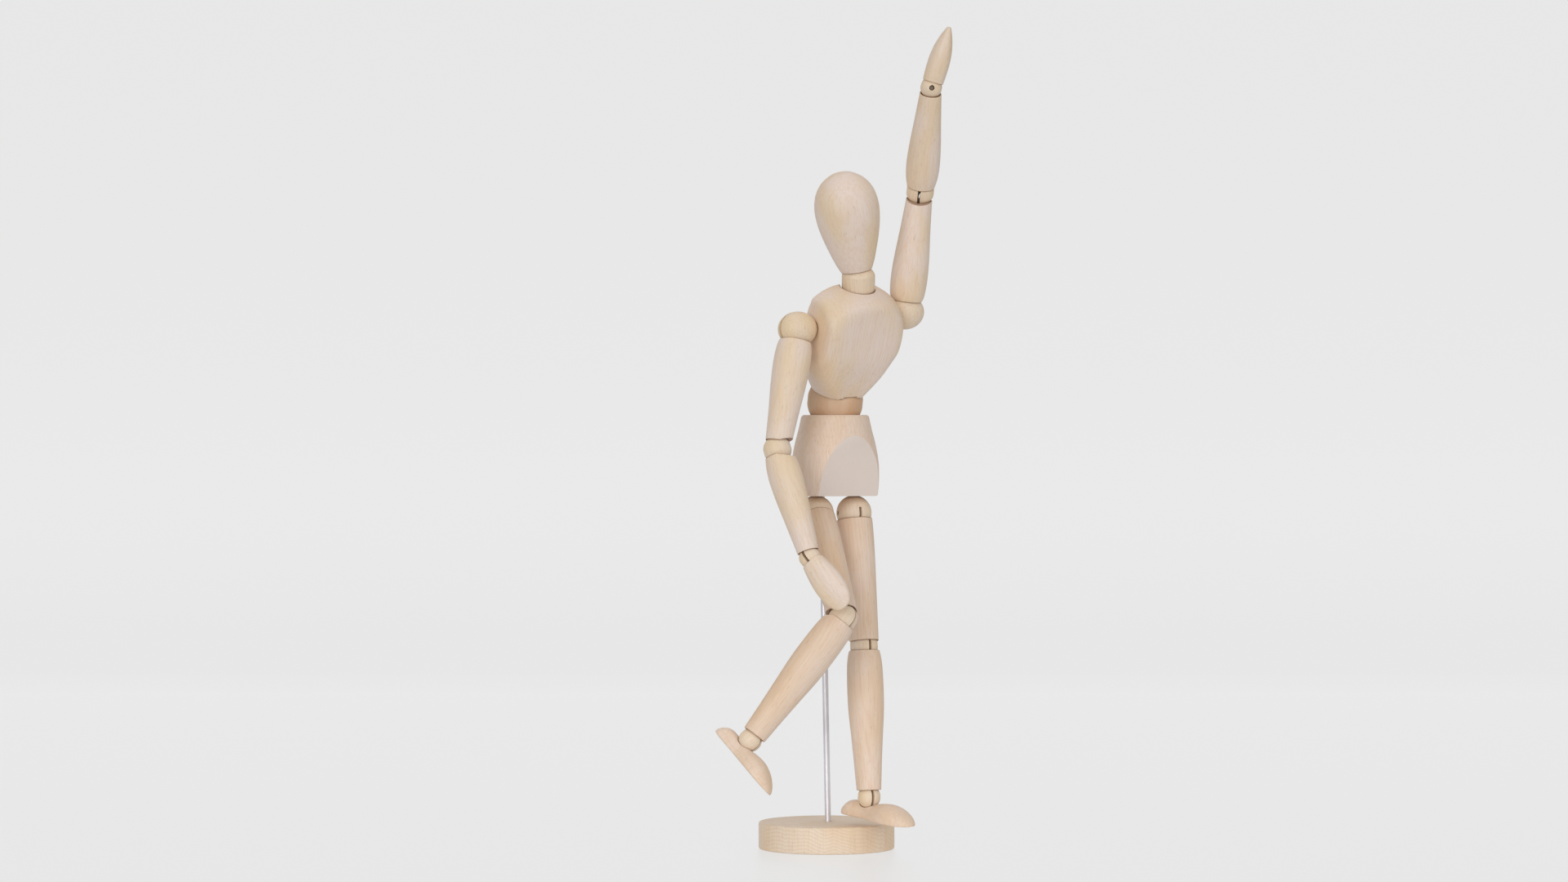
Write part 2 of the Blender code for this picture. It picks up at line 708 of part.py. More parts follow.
def add_shoulder_spring():
    """One spring through the chest pulls both shoulder balls into their sockets."""
    ends = []
    for side, sign in SIDE_SIGN.items():
        centre, other = Vector(shoulder_place(sign)), Vector(shoulder_place(-sign))
        mouth = centre - Vector((sign * (SHOULDER_HALF_LENGTH + 1), 0, 0))
        inner = centre + (other - centre).normalized() * 15.0
        eye = eye_at("chest", f"shoulder_ball_{side}", mouth, -EYE_OFFSET)
        ends.append((inner, eye + [mouth, inner]))
    (start, first), (end, last) = ends
    middle = coil(start, (start + end) / 2, end, LIMB_COIL, 4)
    wire("shoulder_spring", first + middle + last[::-1], "chest")


def add_hand(hand, wrist):
    rings = [
        [Vector((a, b, -distance)) for a, b in rounded_ring(wide, thick)]
        for distance, wide, thick in HAND_SECTIONS
    ]
    piece = lofted(hand, rings, hand, "wood")
    cup = cup_cutter(hand + "_cup", "wrist", hand)
    hole = cylinder(
        hand + "_hook_hole", 0.9, Vector((0, 0, -3)), Vector((0, 0, -13.5)), hand, None, sides=8,
    )
    cut(piece, cup, hole)
    add_hook(hand.replace("hand", "hand_hook"), hand, wrist, 12.5, Vector((0, 0, -1)))


def add_foot(foot, ankle):
    rings = [
        [Vector((x, -forward, z)) for x, z in sole_ring(low, high, half_width)]
        for forward, low, high, half_width in FOOT_SECTIONS
    ]
    piece = lofted(foot, rings, foot, "wood")
    cup = cup_cutter(foot + "_cup", "ankle", foot)
    hole = cylinder(
        foot + "_hook_hole", 0.9, Vector((0, 0, -3)), Vector((0, 0, -9.0)), foot, None, sides=8,
    )
    cut(piece, cup, hole)
    add_hook(foot.replace("foot", "foot_hook"), foot, ankle, 8.2, Vector((0, 0, -1)))


def add_leg(side):
    sign, pose = SIDE_SIGN[side], LEG_POSE[side]
    hip, thigh = f"hip_ball_{side}", f"thigh_{side}"
    knee, shin = f"knee_ball_{side}", f"shin_{side}"
    ankle, foot = f"ankle_ball_{side}", f"foot_{side}"
    add_frame(hip, "pelvis", moved(sign * HIP_HALF_SPACING, 0, 0) @ turned_by(("Z", pose["turn"])))
    add_ball(hip, hip, "hip", hip_slot(BALLS["hip"][0]), mouth_side=-sign)
    add_frame(thigh, hip, turned_by(("X", -pose["swing"]), ("Z", pose["twist"])))
    upper_leg = segment(thigh, thigh, THIGH_OUTLINE, "hip", "knee", THIGH)
    cut(upper_leg, notch(thigh + "_notch", thigh, -THIGH_OUTLINE[-1][0], 1, faces_down=True))
    add_frame(knee, thigh, moved(0, 0, -THIGH) @ turned_by(("X", pose["knee"])))
    add_ball(knee, knee, "knee", open_slot(BALLS["knee"][0], 1))
    add_frame(shin, knee, turned_by(("Z", pose["shin"])))
    lower_leg = segment(shin, shin, SHIN_OUTLINE, "knee", "ankle", SHIN)
    cut(lower_leg, notch(shin + "_notch", knee, rim_height(SHIN_OUTLINE), 1, faces_down=False))
    add_frame(ankle, shin, moved(0, 0, -SHIN) @ turned_by(("X", -pose["ankle"])))
    add_ball(ankle, ankle, "ankle", open_slot(BALLS["ankle"][0], 1))
    add_frame(foot, ankle, turned_by(("Z", pose["foot"])))
    add_foot(foot, ankle)
    hip_spring(side, hip, sign)
    limb_spring(f"thigh_spring_{side}", thigh, (hip, knee), THIGH, 12.5, 10.5)
    limb_spring(f"shin_spring_{side}", shin, (knee, ankle), SHIN, 10.0, 9.5)


def hip_spring(side, hip, sign):
    """A spring screwed into the pelvis, with its eye round the hip pin."""
    x = sign * HIP_HALF_SPACING
    start, end = Vector((x, 0, 11.5)), Vector((x, 0, 23.5))
    ring = eye_at("pelvis", hip, start, -EYE_OFFSET)
    middle = coil(start, (start + end) / 2, end, LIMB_COIL, 4)
    wire(f"hip_spring_{side}", ring + [start] + middle, "pelvis")


def main():
    global PARTS, CUTTERS
    for thing in list(bpy.data.objects):
        bpy.data.objects.remove(thing)
    PARTS = bpy.data.collections.new("wooden_mannequin")
    CUTTERS = bpy.data.collections.new("cutters")
    for collection in (PARTS, CUTTERS):
        bpy.context.scene.collection.children.link(collection)
    add_material("wood", (0.72, 0.56, 0.40), 0.55, 0.0)
    add_material("link_wood", (0.74, 0.57, 0.38), 0.5, 0.0)
    add_material("steel", (0.62, 0.62, 0.64), 0.3, 1.0)
    add_material("spring_steel", (0.35, 0.35, 0.36), 0.4, 1.0)
    add_support()
    add_pelvis()
    add_trunk()
    for side in SIDE_SIGN:
        add_arm(side)
        add_leg(side)
    add_shoulder_spring()


main()
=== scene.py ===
"""Looks of the wooden mannequin figure: turned wooden limbs, ball links, steel pins and a rod.

Every wooden part is rebuilt as a finely turned or carved mesh in its body's own frame, which
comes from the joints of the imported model. Shape tables are millimetres, and become metres
where a mesh is made. A body frame has +X on the figure's left, -Y in front, and +Z up its axis.
"""

import itertools
import json
import math

import bmesh
import bpy
from mathutils import Matrix, Vector


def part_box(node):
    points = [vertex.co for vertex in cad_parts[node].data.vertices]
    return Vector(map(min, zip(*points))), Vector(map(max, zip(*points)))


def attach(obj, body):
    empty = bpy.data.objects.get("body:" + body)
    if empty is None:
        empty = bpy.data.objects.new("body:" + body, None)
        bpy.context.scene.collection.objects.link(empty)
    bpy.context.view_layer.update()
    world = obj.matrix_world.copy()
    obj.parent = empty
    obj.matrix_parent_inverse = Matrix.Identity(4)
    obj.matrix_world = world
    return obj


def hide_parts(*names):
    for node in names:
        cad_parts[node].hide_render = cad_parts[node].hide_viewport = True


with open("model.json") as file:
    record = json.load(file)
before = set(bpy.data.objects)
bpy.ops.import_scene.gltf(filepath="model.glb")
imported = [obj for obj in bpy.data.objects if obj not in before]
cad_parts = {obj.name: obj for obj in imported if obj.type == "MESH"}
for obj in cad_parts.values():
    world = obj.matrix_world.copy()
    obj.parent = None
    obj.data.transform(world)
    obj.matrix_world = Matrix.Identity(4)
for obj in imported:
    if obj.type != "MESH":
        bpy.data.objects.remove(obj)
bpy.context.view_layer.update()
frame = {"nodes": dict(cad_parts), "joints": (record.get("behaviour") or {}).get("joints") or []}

MM = 0.001
SIDES = ("right", "left")
SIGN = {"right": -1, "left": 1}
GAP = 0.4  # clearance of a cup around its ball
TURNED_SIDES = 72
TRUNK_SIDES = 120
BASE_SIDES = 240
CUTTER_SIDES = 64
LIMB_BALL_STEPS = 24  # points of a ball's outline
CUTTER_BALL_STEPS = 32
TRUNK_BALL_STEPS = 40
CUP_STEPS = 10
PIN_SIDES = 32
ROD_SIDES = 48
SMOOTH_STEPS = 5  # points added between two points of an outline
TRUNK_STEPS = 6  # the same, for the larger trunk pieces
FILLET_STEPS = 4
FILLET_SHARE = 0.45  # the most of an outline's edge that one fillet may use
CORNER_ANGLE = math.radians(28)  # a sharper turn of an outline gets a fillet
SHARP_ANGLE = math.radians(38)  # a sharper edge of a mesh is shaded sharp
ON_AXIS = 0.01  # an outline point with a smaller radius is a pole
# Rounding of edges
RIM_EDGE = 0.35
TRUNK_BALL_EDGE = 0.4
LINK_EDGE = 0.3
PIN_EDGE = 0.15
ROD_EDGE = 0.3

# Balls: radius of the sphere, and of the barrel that trims it
BALLS = {
    "waist": (13.4, 13.2),
    "neck": (8.6, 7.85),
    "elbow": (6.65, 6.5),
    "wrist": (5.1, 5.0),
    "hip": (8.45, 8.45),
    "knee": (6.75, 6.6),
    "ankle": (5.45, 5.35),
}
SHOULDER_RADIUS = 8.3
SHOULDER_HALF_LENGTH = 9.6

# Limbs: distance below the upper ball's centre, radius
UPPER_ARM_OUTLINE = [(5.8, 7.4), (9, 8.3), (16, 8.75), (26, 8.4), (40, 7.2), (54.5, 6.2)]
FOREARM_OUTLINE = [(2.9, 6.65), (8, 7.6), (14, 7.95), (23, 7.55), (36, 6.4), (50.8, 5.1)]
THIGH_OUTLINE = [(3.3, 8.5), (11, 8.65), (24, 8.45), (42, 7.85), (62.1, 7.2)]
SHIN_OUTLINE = [(2.15, 7.3), (8, 8.3), (18, 8.65), (30, 8.5), (44, 7.45), (56, 6.6), (68.4, 5.85)]
# Each limb: outline, upper ball, lower ball, distance between their centres, wood
LIMBS = {
    "upper_arm": (UPPER_ARM_OUTLINE, None, "elbow", 58.2, "limb"),
    "forearm": (FOREARM_OUTLINE, "elbow", "wrist", 53.8, "limb"),
    "thigh": (THIGH_OUTLINE, "hip", "knee", 64.3, "warm_shaded"),
    "shin": (SHIN_OUTLINE, "knee", "ankle", 71.6, "warm_shaded"),
}

# Trunk: radius, height above the frame's origin
HEAD_OUTLINE = [
    (0, 53), (2.8, 52.75), (5.4, 52), (10.2, 48.8), (13.7, 43.6), (15.2, 37), (14.95, 30.5),
    (13.6, 23.5), (11.4, 16), (9.2, 9.6), (7.4, 5.6),
]
CHEST_OUTLINE = [
    (0, 59.3), (5, 59.25), (9.6, 59), (14.2, 57.4), (19.2, 54.2), (23.2, 49), (25.6, 42.5),
    (26.2, 37), (25.2, 31), (22.6, 24.5), (19.4, 17.5), (16.2, 11.8), (12.9, 6.2),
]
CHEST_FLOOR = 6.2
CHEST_RIM = 12.0  # inner radius of the flat floor round the waist cup
CHEST_HALF_WIDTH = 20.8
CHEST_FRONT = 16.6
BELLY_DEPTH = 11.4  # the lower front flat, ahead of the middle at the floor's height
BELLY_LEAN = -14
BACK_DEPTH = 12.6
BACK_LEAN = 8
FRONT_SOFTNESS = 5.0
BELLY_SOFTNESS = 1.0
BACK_SOFTNESS = 3.0
SIDE_SOFTNESS = 1.2
FACING_LEAST = 0.05  # a flat trims only where it faces outwards by more than this
RADIUS_LEAST = 0.1
NECK_HEIGHT = 62.0
PELVIS_FLOOR = 8.2
PELVIS_TOP = [(0, 46.8), (15.3, 46.8)]
PELVIS_SIDE = [(16.2, 46.0), (17.5, 40), (19.3, 33), (20.7, 25), (21.0, 18), (20.7, 12)]
PELVIS_UNDERSIDE = [(20.3, 8.7), (19.8, PELVIS_FLOOR), (0, PELVIS_FLOOR)]
PELVIS_FLAT_DEPTH = 12.0  # the front flat, ahead of the middle at the floor's height
PELVIS_FLAT_LEAN = 12.5
HIP_HALF_SPACING = 10.5

# Hands: distance below the wrist, half width, half thickness
HAND_SECTIONS = [
    (2.7, 5.3, 4.9), (7, 6.2, 5.1), (13, 7.0, 5.1), (19, 7.1, 4.4), (24.5, 6.1, 2.9),
    (28.2, 3.9, 1.4), (29.4, 1.6, 0.8),
]
# Feet: distance in front of the ankle, underside, top, half width
FOOT_SECTIONS = [
    (-14.2, -9.0, -7.6, 2.8), (-13.2, -9.6, -5.4, 4.7), (-10.5, -9.9, -3.2, 5.7),
    (-6.5, -9.9, -2.8, 5.5), (-2, -9.9, -3.4, 5.1), (3, -9.9, -3.1, 5.6), (9, -9.9, -1.9, 7.3),
    (14, -9.9, -1.6, 8.4), (19, -9.9, -2.8, 8.0), (23.5, -9.9, -5.2, 6.1), (26.6, -9.8, -7.6, 3.2),
    (27.4, -9.6, -8.6, 1.2),
]
HAND_RING_POINTS = 40
FOOT_RING_POINTS = 44
HAND_SQUARENESS = 2.4
INSTEP_SQUARENESS = 2.2
SOLE_SQUARENESS = 6.0
SOLE_EDGE = 0.18  # height of a foot's widest line, as a share of its thickness
NOTCH_START = 0.6  # the flat cut on the folding side of a limb's end, beside the axis
NOTCH_SLOPE = math.radians(24)

# Hardware
LIMB_BORE = 2.6
TRUNK_BORE = 3.7
NECK_BORE = 2.9
WAIST_BALL_BORE = 4.6
PIN_RADIUS = 1.0
PIN_HOLE_RADIUS = 1.25
PIN_RECESS = 0.9
PIN_HOLE_FLOOR = 1.6  # wood left beyond a pin hole
PIN_END = 1.9  # from the far side of the ball to the pin's end
SLOT_HALF_WIDTH = 0.65
SLOT_OVERCUT = 1.0  # how far a slot's cutter stands out of its ball
HOLE_OVERCUT = 2.0  # the same for a hole's cutter
WEB_START = 3.0  # a link's web, from the ball's middle
WEB_HALF_HEIGHT = 1.3
HOOK_HALF_WIDTH = 1.0  # the narrow way for a spring's hook
HIP_SLOT_TOP = 3.0
SHOULDER_OVERCUT = 2.5
SHOULDER_SLOT_INNER = 4.4
SHOULDER_SLOT_TOP = 2.4
# CUP_LIP: how far past the cup's rim its painted shade reaches
CUP_LIP = 0.45
SLICE_REACH = 60.0
SLICE_OUTLINE = [
    (-SLICE_REACH, 0), (SLICE_REACH, 0), (SLICE_REACH, SLICE_REACH), (-SLICE_REACH, SLICE_REACH),
]
ON_PLANE = 0.001  # a point this near a plane lies on it
FACING_MOST = 0.99  # a face that faces a plane's way by more than this belongs to its flat
FOLD_SIDE = {"elbow": -1, "knee": 1}  # the elbow folds forwards, the knee backwards
WEB_SIDE = {"elbow": 1, "wrist": -1, "knee": 1, "ankle": 1}  # along Y of the link
LINKS = ("elbow", "wrist", "hip", "knee", "ankle")
TRUNK_BORE_DEPTH = 26.0
NECK_BORE_DEPTH = 18.0
HIP_BORE_DEPTH = 25.0
HEAD_BORE_END = 20.0
BASE_EDGE = 1.1
BASE_TOP_INSET = 6.0
BASE_UNDER_INSET = 3.0
ROD_RADIUS = 1.45
ROD_HOLE_RADIUS = 1.75
ROD_HOLE_END = 0.6  # how much deeper the pelvis's hole is than the rod
ROD_HOLE_CUT = 20.0  # length of the cutter for the base's hole

# Seeds that tell the pieces' grain apart
SEEDS = {"waist_ball": 2, "chest": 3, "neck_ball": 4, "pelvis": 5, "head": 7, "base": 11}
FIRST_SEED = {"right": 20, "left": 40}

# Turns that no joint axis tells: a link about its own forearm, a foot about its own ankle
WRIST_LINK_TURN = {"right": 87.0, "left": 62.0}
FOOT_TURN = {"right": 1.7, "left": 27.3}


# ---------------------------------------------------------------- frames from the joints

JOINTS = {joint["name"]: joint for joint in frame["joints"]}


def joint_place(name):
    """A joint's centre, in metres."""
    return Vector(JOINTS[name]["pos_m"])


def joint_axis(name, hint):
    """A joint's axis, turned to run the same way as a hint."""
    axis = Vector(JOINTS[name]["axis"]).normalized()
    return axis if axis.dot(hint) > 0 else -axis


def axes_frame(origin, x_axis, z_axis):
    """A placement with the given +Z, and a +X as near as it can be to x_axis."""
    z_axis = z_axis.normalized()
    y_axis = z_axis.cross(x_axis).normalized()
    x_axis = y_axis.cross(z_axis)
    matrix = Matrix((x_axis, y_axis, z_axis)).transposed().to_4x4()
    matrix.translation = origin
    return matrix


def trunk_frames():
    """Placements of the support, pelvis, chest, head and the balls between them."""
    up = Vector((0, 0, 1))
    hips = [joint_place(f"hip_turn_{side}") for side in SIDES]
    pelvis = axes_frame((hips[0] + hips[1]) / 2, hips[1] - hips[0], up)
    waist, neck = joint_place("chest_turn"), joint_place("head_turn")
    chest_up = joint_axis("chest_turn", up)
    head_up = joint_axis("head_turn", up)
    chest_left = joint_axis("shoulder_swing_left", pelvis.to_3x3().col[0])
    return {
        "support": Matrix.Identity(4),
        "pelvis": pelvis,
        "waist_ball": axes_frame(waist, pelvis.to_3x3().col[0], up + chest_up),
        "chest": axes_frame(waist, chest_left, chest_up),
        "neck_ball": axes_frame(neck, chest_left, chest_up + head_up),
        "head": axes_frame(neck, chest_left, head_up),
    }


def arm_frames(side, chest):
    """Placements of one arm's bodies, from the shoulder to the hand."""
    chest_left = chest.to_3x3().col[0]
    shoulder, elbow = joint_place(f"arm_raise_{side}"), joint_place(f"forearm_turn_{side}")
    wrist = joint_place(f"wrist_bend_{side}")
    front_axis = Vector(JOINTS[f"arm_raise_{side}"]["axis"]) * -SIGN[side]
    arm_left = -Vector(JOINTS[f"elbow_bend_{side}"]["axis"])
    forearm_up = joint_axis(f"forearm_turn_{side}", elbow - wrist)
    forearm_left = -Vector(JOINTS[f"wrist_bend_{side}"]["axis"])
    hand_up = joint_axis(f"hand_turn_{side}", forearm_up)
    link = axes_frame(wrist, forearm_left, hand_up)
    link = link @ Matrix.Rotation(math.radians(WRIST_LINK_TURN[side]), 4, "Z")
    return {
        f"shoulder_ball_{side}": axes_frame(shoulder, chest_left, chest_left.cross(front_axis)),
        f"upper_arm_{side}": axes_frame(shoulder, arm_left, shoulder - elbow),
        f"elbow_ball_{side}": axes_frame(elbow, arm_left, forearm_up),
        f"forearm_{side}": axes_frame(elbow, forearm_left, forearm_up),
        f"wrist_ball_{side}": link,
        f"hand_{side}": link,
    }


def leg_frames(side):
    """Placements of one leg's bodies, from the hip to the foot."""
    hip, knee = joint_place(f"thigh_swing_{side}"), joint_place(f"shin_turn_{side}")
    ankle = joint_place(f"ankle_bend_{side}")
    up = Vector((0, 0, 1))
    hip_left = -Vector(JOINTS[f"thigh_swing_{side}"]["axis"])
    thigh_left = joint_axis(f"knee_bend_{side}", hip_left)
    shin_up = joint_axis(f"shin_turn_{side}", knee - ankle)
    shin_left = -Vector(JOINTS[f"ankle_bend_{side}"]["axis"])
    foot_up = joint_axis(f"foot_turn_{side}", shin_up)
    link = axes_frame(ankle, shin_left, foot_up)
    return {
        f"hip_ball_{side}": axes_frame(hip, hip_left, up),
        f"thigh_{side}": axes_frame(hip, thigh_left, hip - knee),
        f"knee_ball_{side}": axes_frame(knee, thigh_left, shin_up),
        f"shin_{side}": axes_frame(knee, shin_left, shin_up),
        f"ankle_ball_{side}": link,
        f"foot_{side}": link @ Matrix.Rotation(math.radians(FOOT_TURN[side]), 4, "Z"),
    }


def all_frames():
    """Every body's placement, by the name of its main piece."""
    places = trunk_frames()
    for side in SIDES:
        places.update(arm_frames(side, places["chest"]))
        places.update(leg_frames(side))
    return places


PLACES = all_frames()


# ---------------------------------------------------------------- outlines


def smooth_outline(points, steps=SMOOTH_STEPS):
    """Catmull-Rom curve through the points of an outline."""
    padded = [points[0]] + list(points) + [points[-1]]
    result = []
    for i in range(1, len(padded) - 2):
        a, b, c, d = (Vector(p) for p in padded[i - 1 : i + 3])
        for step in range(steps):
            t = step / steps
            result.append(
                0.5 * (2 * b + (c - a) * t + (2 * a - 5 * b + 4 * c - d) * t**2
                       + (3 * b - a - 3 * c + d) * t**3)
            )
    result.append(Vector(points[-1]))
    return result


def filleted(points, radius=RIM_EDGE):
    """A closed outline with every sharp corner rounded. Points on the axis stay."""
    result = []
    count = len(points)
    for i, corner in enumerate(points):
        before, after = points[i - 1] - corner, points[(i + 1) % count] - corner
        on_axis = corner.x < ON_AXIS
        if on_axis or before.angle(after, math.pi) > math.pi - CORNER_ANGLE:
            result.append(corner)
            continue
        start = corner + before.normalized() * min(radius, FILLET_SHARE * before.length)
        end = corner + after.normalized() * min(radius, FILLET_SHARE * after.length)
        for step in range(FILLET_STEPS + 1):
            t = step / FILLET_STEPS
            result.append(start * (1 - t) ** 2 + corner * (2 * t * (1 - t)) + end * t**2)
    return result


def cup_arc(ball_radius, rim, bore, steps=CUP_STEPS):
    """(radius, distance from the ball's centre) from a cup's rim in to its bore."""
    radius = ball_radius + GAP
    outer, inner = math.acos(rim / radius), math.asin(bore / radius)
    angles = [outer + (inner - outer) * i / steps for i in range(steps + 1)]
    return [Vector((radius * math.sin(a), radius * math.cos(a))) for a in angles]


def ball_outline(radius, barrel, steps=LIMB_BALL_STEPS):
    """A sphere trimmed to a barrel, from its top to its bottom."""
    angles = [math.pi * i / steps for i in range(steps + 1)]
    points = [Vector((min(radius * math.sin(a), barrel), radius * math.cos(a))) for a in angles]
    points[0].x = points[-1].x = 0
    return points


# ---------------------------------------------------------------- meshes


def new_object(name, work, place):
    """An object of a finished bmesh, in millimetres, at a placement in metres."""
    bmesh.ops.recalc_face_normals(work, faces=work.faces)
    bmesh.ops.scale(work, vec=(MM, MM, MM), verts=work.verts)
    mesh = bpy.data.meshes.new(name)
    work.to_mesh(mesh)
    work.free()
    thing = bpy.data.objects.new(name, mesh)
    bpy.context.scene.collection.objects.link(thing)
    thing.matrix_world = place
    return thing


def bridge(work, upper, lower):
    """Faces between two rows of vertices. A row of one vertex is a pole."""
    count = max(len(upper), len(lower))
    for i in range(count):
        j = (i + 1) % count
        corners = [upper[i % len(upper)], upper[j % len(upper)]]
        corners += [lower[j % len(lower)], lower[i % len(lower)]]
        unique = list(dict.fromkeys(corners))
        if len(unique) > 2:
            work.faces.new(unique)


def turned(name, outline, place, sides=TURNED_SIDES, closed=False, reach=None):
    """A turned shape from (radius, height) points. reach(radius, angle, height) may trim it."""
    work = bmesh.new()
    rows = []
    for radius, height in outline:
        if radius < ON_AXIS:
            rows.append([work.verts.new((0, 0, height))])
            continue
        row = []
        for i in range(sides):
            angle = 2 * math.pi * i / sides
            out = reach(radius, angle, height) if reach else radius
            row.append(work.verts.new((out * math.cos(angle), out * math.sin(angle), height)))
        rows.append(row)
    for upper, lower in zip(rows, rows[1:]):
        bridge(work, upper, lower)
    if closed:
        bridge(work, rows[-1], rows[0])
    return new_object(name, work, place)


def lofted(name, rings, place):
    """A closed skin through rings of equally many points."""
    work = bmesh.new()
    rows = [[work.verts.new(point) for point in ring] for ring in rings]
    for upper, lower in zip(rows, rows[1:]):
        bridge(work, upper, lower)
    for end in (rows[0], rows[-1]):
        middle = sum((v.co for v in end), Vector()) / len(end)
        bridge(work, end, [work.verts.new(middle)])
    return new_object(name, work, place)


def prism(outline, half_width, place):
    """A cutter with its outline in its own YZ plane, half_width thick each way along X."""
    work = bmesh.new()
    near = [work.verts.new((-half_width, y, z)) for y, z in outline]
    far = [work.verts.new((half_width, y, z)) for y, z in outline]
    work.faces.new(near)
    work.faces.new(far)
    bridge(work, near, far)
    return new_object("cutter", work, place)


def bar(name, radius, start, end, place, sides=CUTTER_SIDES, edge=0.0):
    """A round bar between two points of a frame, its ends rounded by edge."""
    along = Vector(end) - Vector(start)
    length = along.length
    outline = [(0, 0), (radius, 0), (radius, length), (0, length)]
    if edge:
        outline = [(0, 0), (radius - edge, 0), (radius, edge), (radius, length - edge)]
        outline += [(radius - edge, length), (0, length)]
    direction = along.to_track_quat("Z", "Y").to_matrix().to_4x4()
    seat = Matrix.Translation(Vector(start) * MM) @ direction
    return turned(name, [Vector(p) for p in outline], place @ seat, sides)


def sphere_cutter(radius, place):
    """A round cutter for a cup."""
    outline = ball_outline(radius, radius, CUTTER_BALL_STEPS)
    return turned("cutter", outline, place, CUTTER_SIDES)


def shifted(place, x, y, z):
    """A placement moved by millimetres along its own axes."""
    return place @ Matrix.Translation(Vector((x, y, z)) * MM)


def carve(thing, cutters):
    """Cuts the cutters out of thing and removes them."""
    bpy.context.view_layer.update()
    for cutter in cutters:
        boolean = thing.modifiers.new("cut", "BOOLEAN")
        boolean.operation = "DIFFERENCE"
        boolean.solver = "EXACT"
        boolean.object = cutter
    evaluated = thing.evaluated_get(bpy.context.evaluated_depsgraph_get())
    mesh = bpy.data.meshes.new_from_object(evaluated)
    thing.modifiers.clear()
    thing.data = mesh
    for cutter in cutters:
        bpy.data.objects.remove(cutter)


def mark_faces(thing, mark, chosen):
    """Sets a face attribute, which the wood reads, where chosen(centre, normal) holds."""
    attributes = thing.data.attributes
    attribute = attributes.get(mark) or attributes.new(mark, "FLOAT", "FACE")
    for face in thing.data.polygons:
        if chosen(face.center, face.normal):
            attribute.data[face.index].value = 1.0


def mark_cup_shade(thing, centre, radius):
    """Marks the inside and lip of the cup round a ball for painted shade: dark brown that stands
    in for the shadowed gap between cup and ball.
    """
    middle, reach = Vector(centre) * MM, (radius + GAP + CUP_LIP) * MM
    mark_faces(thing, "cup_shade", lambda point, normal: (point - middle).length < reach)


def slice_off(thing, plane):
    """Cuts away all above a placement's XY plane and marks the flat that it leaves, for a painted
    highlight.
    """
    carve(thing, [prism(SLICE_OUTLINE, SLICE_REACH, plane)])
    local = thing.matrix_world.inverted() @ plane
    origin, up = local.translation, local.to_3x3().col[2].normalized()

    def on_plane(point, normal):
        return abs((point - origin).dot(up)) < ON_PLANE * MM and normal.dot(up) > FACING_MOST

    # the mark makes the wood paler and greyer there: a painted highlight where the flat catches
    # the light
    mark_faces(thing, "flat_highlight", on_plane)


def finish_piece(thing, node, body, material):
    """Smooth shading, a material, a name, the piece's body, and its imported part hidden."""
    mesh = thing.data
    mesh.materials.clear()
    mesh.materials.append(material)
    mesh.shade_smooth()
    mesh.set_sharp_from_angle(angle=SHARP_ANGLE)
    thing.name = node + "_piece"
    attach(thing, body)
    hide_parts(node)


# ---------------------------------------------------------------- materials


class Nodes:
    """Short calls to build one material's node tree."""

    def __init__(self, name):
        self.material = bpy.data.materials.new(name)
        self.material.use_nodes = True
        self.tree = self.material.node_tree
        self.shader = self.tree.nodes["Principled BSDF"]

    def add(self, kind, **settings):
        node = self.tree.nodes.new(kind)
        for key, value in settings.items():
            setattr(node, key, value)
        return node

    def join(self, source, target):
        self.tree.links.new(source, target)

    def coordinates(self, scale, offset=(0, 0, 0), turn=(0, 0, 0)):
        """Object coordinates, stretched, moved and turned."""
        source = self.add("ShaderNodeTexCoord")
        mapping = self.add("ShaderNodeMapping")
        mapping.inputs["Location"].default_value = offset
        mapping.inputs["Rotation"].default_value = turn
        mapping.inputs["Scale"].default_value = scale
        self.join(source.outputs["Object"], mapping.inputs["Vector"])
        return mapping.outputs["Vector"]

    def mark(self, name):
        """The share that mark_faces() wrote on each face."""
        return self.add("ShaderNodeAttribute", attribute_name=name).outputs["Fac"]

    def noise(self, vector, detail=2.0, output="Fac"):
        """Noise with one lump to each unit of the vector."""
        node = self.add("ShaderNodeTexNoise")
        node.inputs["Scale"].default_value = 1.0
        node.inputs["Detail"].default_value = detail
        self.join(vector, node.inputs["Vector"])
        return node.outputs[output]

    def math(self, operation, first, second=0.0):
        """One operation on numbers or sockets."""
        node = self.add("ShaderNodeMath", operation=operation)
        for socket, value in zip(node.inputs, (first, second)):
            if isinstance(value, (int, float)):
                socket.default_value = value
            else:
                self.join(value, socket)
        return node.outputs["Value"]

    def vector_math(self, operation, first, second=(0, 0, 0)):
        """The same for vectors. LENGTH gives a number."""
        node = self.add("ShaderNodeVectorMath", operation=operation)
        self.join(first, node.inputs[0])
        if isinstance(second, tuple):
            node.inputs[1].default_value = second
        else:
            self.join(second, node.inputs[1])
        return node.outputs["Value" if operation == "LENGTH" else "Vector"]

    def ramp(self, value, low, high):
        """0 below low, 1 above high, smooth between."""
        node = self.add("ShaderNodeMapRange", interpolation_type="SMOOTHSTEP")
        self.join(value, node.inputs["Value"])
        node.inputs["From Min"].default_value = low
        node.inputs["From Max"].default_value = high
        return node.outputs["Result"]

    def mix(self, share, first, second):
        """Colours mixed by a share, each a colour or a socket."""
        node = self.add("ShaderNodeMix", data_type="RGBA")
        sockets = [s for s in node.inputs if s.type == "RGBA"]
        for socket, value in ((node.inputs["Factor"], share), *zip(sockets, (first, second))):
            if isinstance(value, bpy.types.NodeSocket):
                self.join(value, socket)
            elif isinstance(value, tuple):
                socket.default_value = (*value, 1)
            else:
                socket.default_value = value
        return [s for s in node.outputs if s.type == "RGBA"][0]

    def bump(self, height, strength, distance):
        """Fine relief from a height, strength as a share and distance in metres."""
        node = self.add("ShaderNodeBump")
        node.inputs["Strength"].default_value = strength
        node.inputs["Distance"].default_value = distance
        self.join(height, node.inputs["Height"])
        self.join(node.outputs["Normal"], self.shader.inputs["Normal"])


